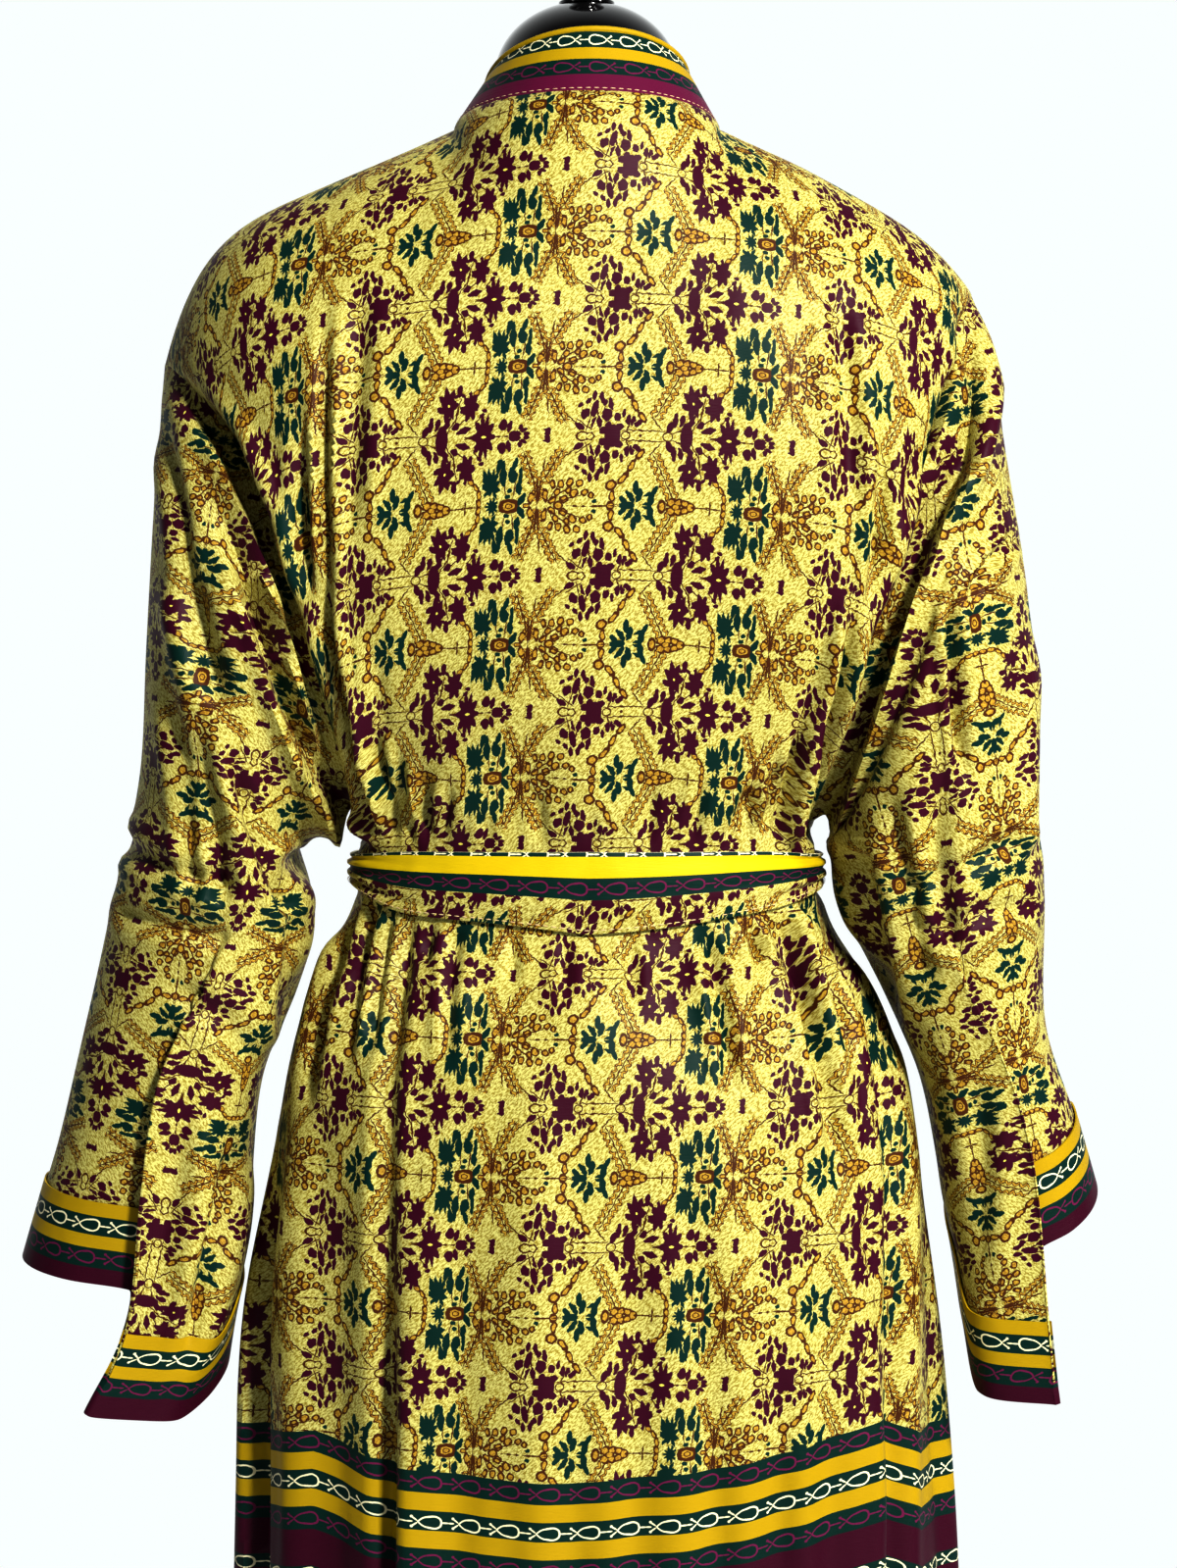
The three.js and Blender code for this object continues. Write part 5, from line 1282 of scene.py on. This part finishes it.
def striped(place, stripes, inside, chain, flowers=None):
    """Colours of stripes at (along, across) in metres; inside shows where a stripe is None."""
    along, across = (part * 1000 for part in parts(place))
    low = stripes[0][0]
    last = stripes[-1][0] - low
    extent = last * 1.02 + 1  # the colour ramps' last stop lies short of their end
    ends = [start for start, *unused in stripes[1:]] + [stripes[-1][0] + LAST_RUN]
    grounds, loops, facts = [], [], []
    for (start, ground, loop), end in zip(stripes, ends):
        at = (start - low) / extent
        plain = (0, 0, 0) if ground in (None, "flowers") else ground
        kind = {None: 1.0, "flowers": 0.5}.get(ground, 0.0)
        grounds.append((at, plain))
        loops.append((at, loop or plain))
        facts.append((at, ((start + end - 2 * low) / 2 / extent, 1.0 if loop else 0.0, kind)))
    at = (across - low) / extent
    ground, loop = steps(at, grounds), steps(at, loops)
    middle, looped, kind = parts(steps(at, facts), "SeparateColor", 3)
    line = use_group(chain, along, (at - middle) * extent)[0] * looped
    colour = blend(line, ground, loop)
    if flowers is not None:
        colour = blend(maths("GREATER_THAN", kind, 0.25), colour, flowers)
    if inside is not None:
        bare, past = maths("GREATER_THAN", kind, 0.75), maths("GREATER_THAN", at, last / extent)
        colour = blend(maths("MAXIMUM", bare, past), colour, inside)
    return colour


def material(name):
    made = bpy.data.materials.new(name)
    made.use_nodes = True
    Field.tree = made.node_tree
    return made, made.node_tree.nodes["Principled BSDF"]


def uv(name):
    return field("UVMap", uv_map=name)


def bump(shader, height, strength, distance):
    values = {"Strength": strength, "Distance": distance, "Height": height}
    plug(shader.inputs["Normal"], field("Bump", values))


def cloth_finish(shader, colour, place):
    """Satin: a soft shine with fine uneven threads across and along."""
    plug_all(shader, {"Base Color": colour, "Roughness": 0.5, "Specular IOR Level": 0.14,
                      "Sheen Weight": 0.02, "Sheen Roughness": 0.3})
    weave = field("TexWave", {"Vector": place, "Scale": 420, "Distortion": 1.5, "Detail": 1}, "Fac",
                  wave_type="BANDS", bands_direction="Y", wave_profile="SIN")
    slubs = noise(vectors("MULTIPLY", place, (120, 900, 1)), 1.0)
    wrinkles = noise(vectors("MULTIPLY", place, (34, 16, 1)), 1.0)
    bump(shader, weave * 0.3 + slubs + wrinkles * 15, 0.35, 0.00025)


def print_material(flowers, chain):
    made, shader = material("flower print satin")
    place = uv("Print")
    colour, maroon, outline = use_group(flowers, place)
    border = blend(maroon, blend(outline, GOLD, BROWN), MAROON)
    cloth_finish(shader, striped(uv("Band"), HEM_STRIPES, colour, chain, border), place)
    return made


def band_material(name, stripes, chain, flowers=None):
    made, shader = material(name)
    place = uv("Band")
    inside = use_group(flowers, uv("Print"))[0] if flowers else None
    cloth_finish(shader, striped(place, stripes, inside, chain), place)
    return made


# The sewn cloth as bare surfaces
back_grid = body_point("back", BACK_T[None, :], ROWS[:, None])
front_left, front_right = front_grid(-1), front_grid(1)
sewn = {
    "back": surface_of(back_grid),
    "front_left": surface_of(front_left, flip=True),
    "front_right": surface_of(front_right),
    "sleeve_left": surface_of(sleeve_grid("left"), closed=True, flip=True),
    "sleeve_right": surface_of(sleeve_grid("right"), closed=True),
    "neckband": surface_of(neckband_grid(back_grid, front_left, front_right)),
}
share_normals(sewn.values())

# Print places: across the body from its middle and up from the hem; on the sleeves
# along the grain and round from the outer fold. Band places: up from the hem or cuff
for name in BODY:
    grid = sewn[name]["grid"]
    up, across, hitch = distances(grid, 0), distances(grid, 1), 0
    if name == "back":
        across -= across[:, [SIDE_COLUMNS + NECK_COLUMNS // 2]]
        hitch = np.interp(across, *zip(*HEM_HITCH)) * smooth(20, 150, up)
    else:
        across = (across + FRONT_START) * (1 if name == "front_left" else -1)
    sewn[name]["uv"] = uv_pairs(across - PRINT_TILT * up - PRINT_MIDDLE, up - PRINT_FOOT)
    sewn[name]["band"] = uv_pairs(across, up - hitch)
for side, (lean, along_start, round_start) in SLEEVE_PRINT.items():
    sleeve = sewn["sleeve_" + side]
    x, y, z = (sleeve["grid"][..., k] for k in range(3))
    sign = 1 if side == "left" else -1
    along = sign * (x * math.sin(lean) - (z - SLEEVE_LEVEL) * math.cos(lean))
    level = x * math.cos(lean) + z * math.sin(lean)
    round_it = distances(np.stack([level, y], -1), 1)
    round_it += sign * level[:, [BACK_COLUMN]] - round_it[:, [BACK_COLUMN]]
    grain = np.array([math.sin(lean), 0, -math.cos(lean)])
    sleeve["laying"] = (grain, BACK_COLUMN, along - along_start, round_it - round_start)
    down = distances(sleeve["grid"], 0)
    sleeve["band"] = uv_pairs(down[-1:] - down, PAST_STRIPES)
band_grid = sewn["neckband"]["grid"]
sewn["neckband"]["uv"] = uv_pairs(distances(band_grid, 0)[:, :1], distances(band_grid, 1))
sewn["neckband"]["band"] = sewn["neckband"]["uv"]

# Creases, then the cuffs from the creased sleeves
rims = np.concatenate([sewn[name]["grid"][0] for name in ("sleeve_left", "sleeve_right")])
armholes = KDTree(len(rims))
for k, place in enumerate(rims):
    armholes.insert(place, k)
armholes.balance()
for name, surface in sewn.items():
    grid = surface["grid"]
    seam_gap = np.array([armholes.find(place)[2] for place in grid.reshape(-1, 3)])
    sunk = relief(grid, "s" if name.startswith("sleeve") else "b", seam_gap.reshape(grid.shape[:2]))
    surface["grid"] = off_form(grid - surface["normals"] * sunk[..., None])
    if surface["closed"]:
        surface["grid"][:, -1] = surface["grid"][:, 0]
    surface["normals"] = normals_of(surface)
share_normals(sewn.values())
for surface in sewn.values():
    if "laying" in surface:
        surface["uv"] = uv_pairs(*laid_out(surface, *surface["laying"]))

cloths = {name: shell(name + "_cloth", surface, CLOTH) for name, surface in sewn.items()}
for side in ("left", "right"):
    sleeve = sewn["sleeve_" + side]
    cuff = {**sleeve, "normals": sleeve["normals"][-1 - CUFF_ROWS:]}
    cuff["grid"] = sleeve["grid"][-1 - CUFF_ROWS:] + cuff["normals"] * SHELL_LIFT
    cuff["uv"] = cuff["band"] = uv_pairs(distances(cuff["grid"], 1), distances(cuff["grid"], 0))
    cloths["cuff_" + side] = shell(f"cuff_{side}_band", cuff, BAND_CLOTH)


# The sash, its knot and its hanging ends
def outside_point(face, t, z, out):
    lap = lap_height(t, z) if face == "front" else 0
    return moved_out(face, t, ring_point(face, t, z), fold_shift(face, t, z) + lap + out)


def sash_face(face, t, share):
    """The sash on one face: t round the waist, share from its foot to its head.

    Its pleats run askew and deepen where it is drawn in; between them it bulges, ripples
    a little, and its foot wavers.
    """
    away = np.abs(t)
    half, head = SASH_HALF[face](away), SASH_TOP[face](away)
    clear = mix(SASH_CLEAR[face], SASH_CLEAR["back"], smooth(0.6, 1, away))
    drawn = smooth(0.3, 0.95, away) if face == "back" else 0.8 + 0 * away
    pull = share + SASH_WAVES["askew"] * np.sin(4.1 * t + 1.3) * drawn
    second = SASH_WAVES["second"] * np.cos(FULL * SASH_WAVES["second_pleats"] * pull + 3 * t)
    pleats = np.cos(FULL * SASH_PLEATS * pull) + second
    bulge = SASH_WAVES["bulge"] * np.sin(math.pi * share) ** 0.7 * (1 - 0.5 * drawn)
    ripple = SASH_WAVES["ripple"] * np.sin(23 * t) * np.sin(math.pi * share)
    waver = SASH_WAVES["waver"] * np.sin(9 * t + 0.6) * (1 - share)
    out = clear + bulge + (pleats + 1) * mix(0.12, 1.1, drawn) + np.maximum(ripple, 0)
    t, z = np.broadcast_arrays(t, head - 2 * half * (1 - share) - waver)
    return outside_point(face, t, z, out)


def sash_surface():
    share = np.linspace(0, 1, SASH_ROWS + 1)[:, None]
    turn = np.linspace(-1, 1, SASH_COLUMNS + 1)[None, :]
    faces = [sash_face("back", turn[:, :-1], share), sash_face("front", -turn, share)]
    grid = np.concatenate(faces, axis=1)
    along = distances(grid[SASH_ROWS // 2:][:1], 1)
    return surface_of(
        grid, closed=True, band=uv_pairs(along, (1 - share) * SASH_WIDTH),
        uv=uv_pairs(along - 0.3 * SASH_WIDTH * share, share * SASH_WIDTH + SASH_START))


def tail_surface(length, top_t, foot_t):
    up = np.linspace(0, 1, TAIL_ROWS + 1)[:, None]
    down = 1 - up
    across = np.linspace(-1, 1, TAIL_COLUMNS + 1)[None, :]
    spread = smooth(0, TAIL["spread"], down)
    width = mix(TAIL["top"], TAIL["width"], spread)
    width = width - TAIL["narrowed"] * np.sin(down * 5 + 40 * foot_t) ** 2 * spread
    middle = mix(top_t, foot_t, spread) + TAIL["sway"] * np.sin(down * 6 + 9 * foot_t) * spread
    proud = TAIL["proud"] + TAIL["top_proud"] * np.exp(-length * down / TAIL["fall"])
    gathered = mix(1.5, 0.25, smooth(0, 0.45, down))
    pleats = gathered * (1 + np.cos(math.pi * 3 * across + 1.5 * np.sign(foot_t)))
    curling = 1 + np.sin(across * 1.9 + down * 4.4 + 30 * foot_t)
    curl = TAIL["curl"] * smooth(0.3, 1, down) * curling
    z = TAIL["head"] + TAIL["tucked"] - length * down
    half_t = np.arcsin(width / 2 / RING["left"](z)) / QUARTER
    t, z = np.broadcast_arrays(middle + across * half_t, z)
    return surface_of(
        outside_point("front", t, z, proud + pleats + curl), flip=True,
        band=uv_pairs(length * up, (1 - across) / 2 * SASH_WIDTH),
        uv=uv_pairs(length * up, (1 + across) / 2 * SASH_WIDTH + SASH_START))


KNOT_Y = float(RING["front"](KNOT["z"])) + FRONT_LAYERS / 2 + SASH_CLEAR["front"] + KNOT_CLEAR
KNOT_Y += KNOT["deep"]


def knot_surface(end, rows, radius, pleats, depth):
    """A pleated form about the knot's level axis, to this share of its width both ways."""
    along = np.linspace(-end, end, rows + 1)[:, None]
    turn = np.linspace(0, FULL, KNOT_COLUMNS + 1)[None, :]
    size = radius(along) * (1 + depth * np.cos(pleats * turn + 2.2 * along) * (1 - along**2))
    grid = points(
        KNOT["wide"] * along, KNOT_Y + KNOT["deep"] * size * np.cos(turn),
        KNOT["z"] + KNOT["tall"] * size * np.sin(turn) * mix(1, RIGHT_LOBE, np.sign(along)),
    )
    grid[:, -1] = grid[:, 0]
    round_it = turn / FULL * 2 * SASH_WIDTH
    return surface_of(grid, closed=True, band=uv_pairs(KNOT["wide"] * along, round_it % 60),
                      uv=uv_pairs(KNOT["wide"] * along + 7, round_it))


def loop_radius(x):
    return 0.9 * (1 - np.abs(x) ** 3.2) ** 0.5 * (0.62 + 0.38 * smooth(0.1, 0.5, abs(x)))


def wrap_radius(x):
    return 0.80 + 0.045 * np.cos(FULL * 3 * x / 0.6)


sash = sash_surface()
cloths["sash"] = shell("sash_cloth", sash, SASH_CLOTH)
for name, length_mm, top_t, foot_t in TAILS:
    cloths[name] = shell(name + "_cloth", tail_surface(length_mm, top_t, foot_t), SASH_CLOTH)
lobes = knot_surface(0.985, 44, loop_radius, 9, 0.06)
cloths["sash_knot"] = shell("sash_knot_loops", lobes, SASH_CLOTH)
knot_wrap = shell("sash_knot_wrap", knot_surface(0.3, 14, wrap_radius, 3, 0.015), SASH_CLOTH)


# Dress form, knob and stand
def tube(rings, around, base=0):
    """Faces of a closed tube: quads between its rings of vertices, and both its ends."""
    faces = []
    for first in range(base, base + (rings - 1) * around, around):
        for j in range(around):
            a, b = first + j, first + (j + 1) % around
            faces.append((a, b, b + around, a + around))
    end = base + (rings - 1) * around
    return [*faces, tuple(range(base, base + around))[::-1], tuple(range(end, end + around))]


def solid_piece(name, vertices, faces, sharp=None):
    """A smooth mesh piece from vertices in millimetres; sharp is the angle that stays an edge."""
    mesh = bpy.data.meshes.new(name)
    mesh.from_pydata((vertices * MM).tolist(), [], faces)
    mesh.polygons.foreach_set("use_smooth", np.ones(len(faces), dtype=bool))
    if sharp:
        mesh.set_sharp_from_angle(angle=math.radians(sharp))
    return add_object(name, mesh)


def ringed(name, rings):
    return solid_piece(name, np.concatenate(rings), tube(len(rings), len(rings[0])), sharp=40)


def form_ring(z, half, back, front, power):
    cosine, sine = np.cos(all_round(FORM_COLUMNS)), np.sin(all_round(FORM_COLUMNS))
    depth = np.where(sine < 0, back, front)
    return points(half * np.sign(cosine) * np.abs(cosine) ** (2 / power),
                  depth * np.sign(sine) * np.abs(sine) ** (2 / power), z)


def turned(name, profile, middle_y=0.0, columns=72):
    x, y = np.cos(all_round(columns)), np.sin(all_round(columns))
    return ringed(name, [points(r * x, middle_y + r * y, z) for r, z in profile])


form_heights = np.linspace(FORM_Z[0], FORM_Z[-1], 131)
form_rings = [form_ring(z, *(read(z) for read in FORM_RING)) for z in form_heights]
for lift in np.linspace(0, NECK_END, 22):
    radius, knob_foot = NECK_RADIUS * math.cos(lift), NECK_SIDE + NECK_DOME * math.sin(lift)
    form_rings.append(form_ring(knob_foot, radius, radius - NECK_MIDDLE, radius + NECK_MIDDLE, 2))
knob_profile = KNOB_NECK + [
    (KNOB * math.cos(a), KNOB_MIDDLE + KNOB * math.sin(a)) for a in np.linspace(-0.78, 1.5, 22)]
knob_profile = [(radius, knob_foot + z) for radius, z in knob_profile]
solid = {
    "form_torso": ringed("form_body", form_rings),
    "form_knob": turned("form_knob_turned", knob_profile, NECK_MIDDLE),
    "stand_pole": turned("stand_tube", POLE),
    "stand_base": turned("stand_foot", BASE, columns=120),
}


# Thread that shows
def stitches(name, line, normals, run=2.8, gap=1.5, thick=0.3):
    """Short threads along a line in millimetres, thinner at their ends."""
    way = distances(line, 0)
    count = int(way[-1] // (run + gap))
    at = (np.arange(count) * (way[-1] / count))[:, None] + np.array([0, 0.25, 0.75, 1]) * run
    sizes = np.array([0.35, 1, 1, 0.35]) * thick
    centre, up = along_line(at, way, line), along_line(at, way, normals)
    along = unit(np.repeat((centre[:, -1] - centre[:, 0])[:, None], 4, axis=1))
    side = unit(np.cross(along, up))[:, :, None]
    up = up[:, :, None]
    turn = all_round(6)[None, None, :, None]
    around = np.cos(turn) * side + 0.7 * np.sin(turn) * up
    vertices = centre[:, :, None] + around * sizes[None, :, None, None] + up * thick * 0.3
    faces = [face for k in range(count) for face in tube(4, 6, k * 24)]
    return solid_piece(name, vertices.reshape(-1, 3), faces)


def along_edge(surface, row=None, column=None, inward=0.0, lift=0.5):
    """A line on a surface beside its first row or column, with its normals."""
    every = slice(None)
    place, beside = (row, row + 1) if column is None else ((every, column), (every, column + 1))
    line, up = surface["grid"][place], surface["normals"][place]
    return line + unit(surface["grid"][beside] - line) * inward + up * lift, up


neckband = sewn["neckband"]
turn = np.linspace(0, FULL, ROLL_COLUMNS + 1)[None, :, None]
edge, inside = neckband["grid"][:, -1], unit(neckband["grid"][:, -2] - neckband["grid"][:, -1])
roll_grid = (edge + inside)[:, None] + ROLL * (
    np.cos(turn) * inside[:, None] + np.sin(turn) * neckband["normals"][:, -1][:, None])
roll_map = uv_pairs(distances(neckband["grid"], 0)[:, -1:], ROLL_STRIPE + 0 * turn[..., 0])
roll = surface_of(roll_grid, closed=True, band=roll_map, uv=roll_map)
neck_roll = shell("neckband_rolled_edge", roll, ROLL_CLOTH)
seams = {
    "neckband_topstitch": along_edge(neckband, column=0, inward=1.6),
    "sash_foot_stitch": along_edge(sash, row=0, inward=2.2, lift=0.7),
}
seams.update({name + "_hem_stitch": along_edge(sewn[name], row=0, inward=9) for name in BODY})
threads = {name: stitches(name, *edge) for name, edge in seams.items()}

flowers, chain = print_group(), chain_group()
satin = print_material(flowers, chain)
neck_satin = band_material("neckband satin", BAND_STRIPES, chain)
cuff_satin = band_material("cuff satin", CUFF_STRIPES, chain)
sash_satin = band_material("sash satin", SASH_STRIPES, chain, flowers)


def plain_material(name, low, high, scale, rough, coat=0.0, metal=0.0, grain=0.0):
    """A surface whose colour and roughness vary a little."""
    made, shader = material(name)
    place = vectors("MULTIPLY", field("TexCoord", output="Object"), scale)
    share = noise(place, 1.0, 4.0, 0.6, "3D")
    plug_all(shader, {
        "Base Color": blend(share, low, high),
        "Roughness": share * (rough[1] - rough[0]) + rough[0],
        "Metallic": metal, "Coat Weight": coat, "Coat Roughness": 0.04})
    if grain:
        bump(shader, share, grain, 0.0004)
    return made


lacquer = plain_material(
    "black lacquer", (0.003, 0.003, 0.004), (0.007, 0.006, 0.006), (30, 30, 30), (0.10, 0.22),
    coat=1.0, grain=0.06)
steel = plain_material(
    "dark turned steel", (0.09, 0.09, 0.095), (0.17, 0.17, 0.18), (40, 40, 900), (0.16, 0.34),
    metal=1.0, grain=0.1)
thread = plain_material(
    "light thread", (0.60, 0.42, 0.20), (0.86, 0.72, 0.46), (900, 900, 900), (0.45, 0.65),
    grain=0.4)
paper = plain_material(
    "pale floor", (0.80, 0.81, 0.82), (0.86, 0.87, 0.88), (3, 3, 3), (0.45, 0.6))
LOOKS = {  # material and slot, by how a piece's name starts
    "neckband": (neck_satin, "band"), "cuff": (cuff_satin, "band"), "sash": (sash_satin, "sash"),
    "form_torso": (lacquer, "form"), "form_knob": (lacquer, "metal"), "stand": (steel, "metal"),
}


def give_look(piece, name):
    look, slot = (satin, "print")
    for start, found in LOOKS.items():
        if name.startswith(start):
            look, slot = found
    piece.data.materials.append(look)


for name, piece in [*cloths.items(), *solid.items()]:
    give_look(piece, name)
    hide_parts(name)
for piece in (knot_wrap, neck_roll):
    give_look(piece, piece.name)
for piece in threads.values():
    piece.data.materials.append(thread)
for piece in (*cloths.values(), *solid.values(), knot_wrap, neck_roll, *threads.values()):
    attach(piece, "root")

rim = all_round(96)
rim = points(FLOOR_RADIUS * np.cos(rim), FLOOR_RADIUS * np.sin(rim), 0)
floor = solid_piece("floor", rim, [tuple(range(len(rim)))])
floor.data.materials.append(paper)

# A white studio behind the robe, dimmer on the camera's side
world = bpy.data.worlds.new("world")
bpy.context.scene.world = world
world.use_nodes = True
Field.tree = world.node_tree
heading = parts(field("TexCoord", output="Generated"))[1]
strength = map_range(heading, 0.0, 0.9, 0.05, 1.0)
plug_all(world.node_tree.nodes["Background"], ((0.965, 1, 1), strength))

for name, (place, height, size, power, colour, mirrored) in LIGHTS.items():
    data = bpy.data.lights.new(name, "AREA")
    data.shape, data.energy, data.color = "RECTANGLE", power, colour
    data.size, data.size_y = size
    light = add_object(name, data)
    light.location, light.visible_glossy = place, mirrored
    beam = Vector((0, 0, height)) - Vector(place)
    light.rotation_euler = beam.to_track_quat("-Z", "Y").to_euler()
bpy.context.scene.view_settings.view_transform = "Standard"
bpy.context.scene.view_settings.gamma = 0.7

# How the cloth was cut, flat
extra = {name: [threads[name + "_hem_stitch"]] for name in BODY}
extra["neckband"] = [threads["neckband_topstitch"], neck_roll]
for name, (wide, long, area) in CUT.items():
    rests = ["form_torso"] if name in BODY else []
    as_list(extra.get(name, []))
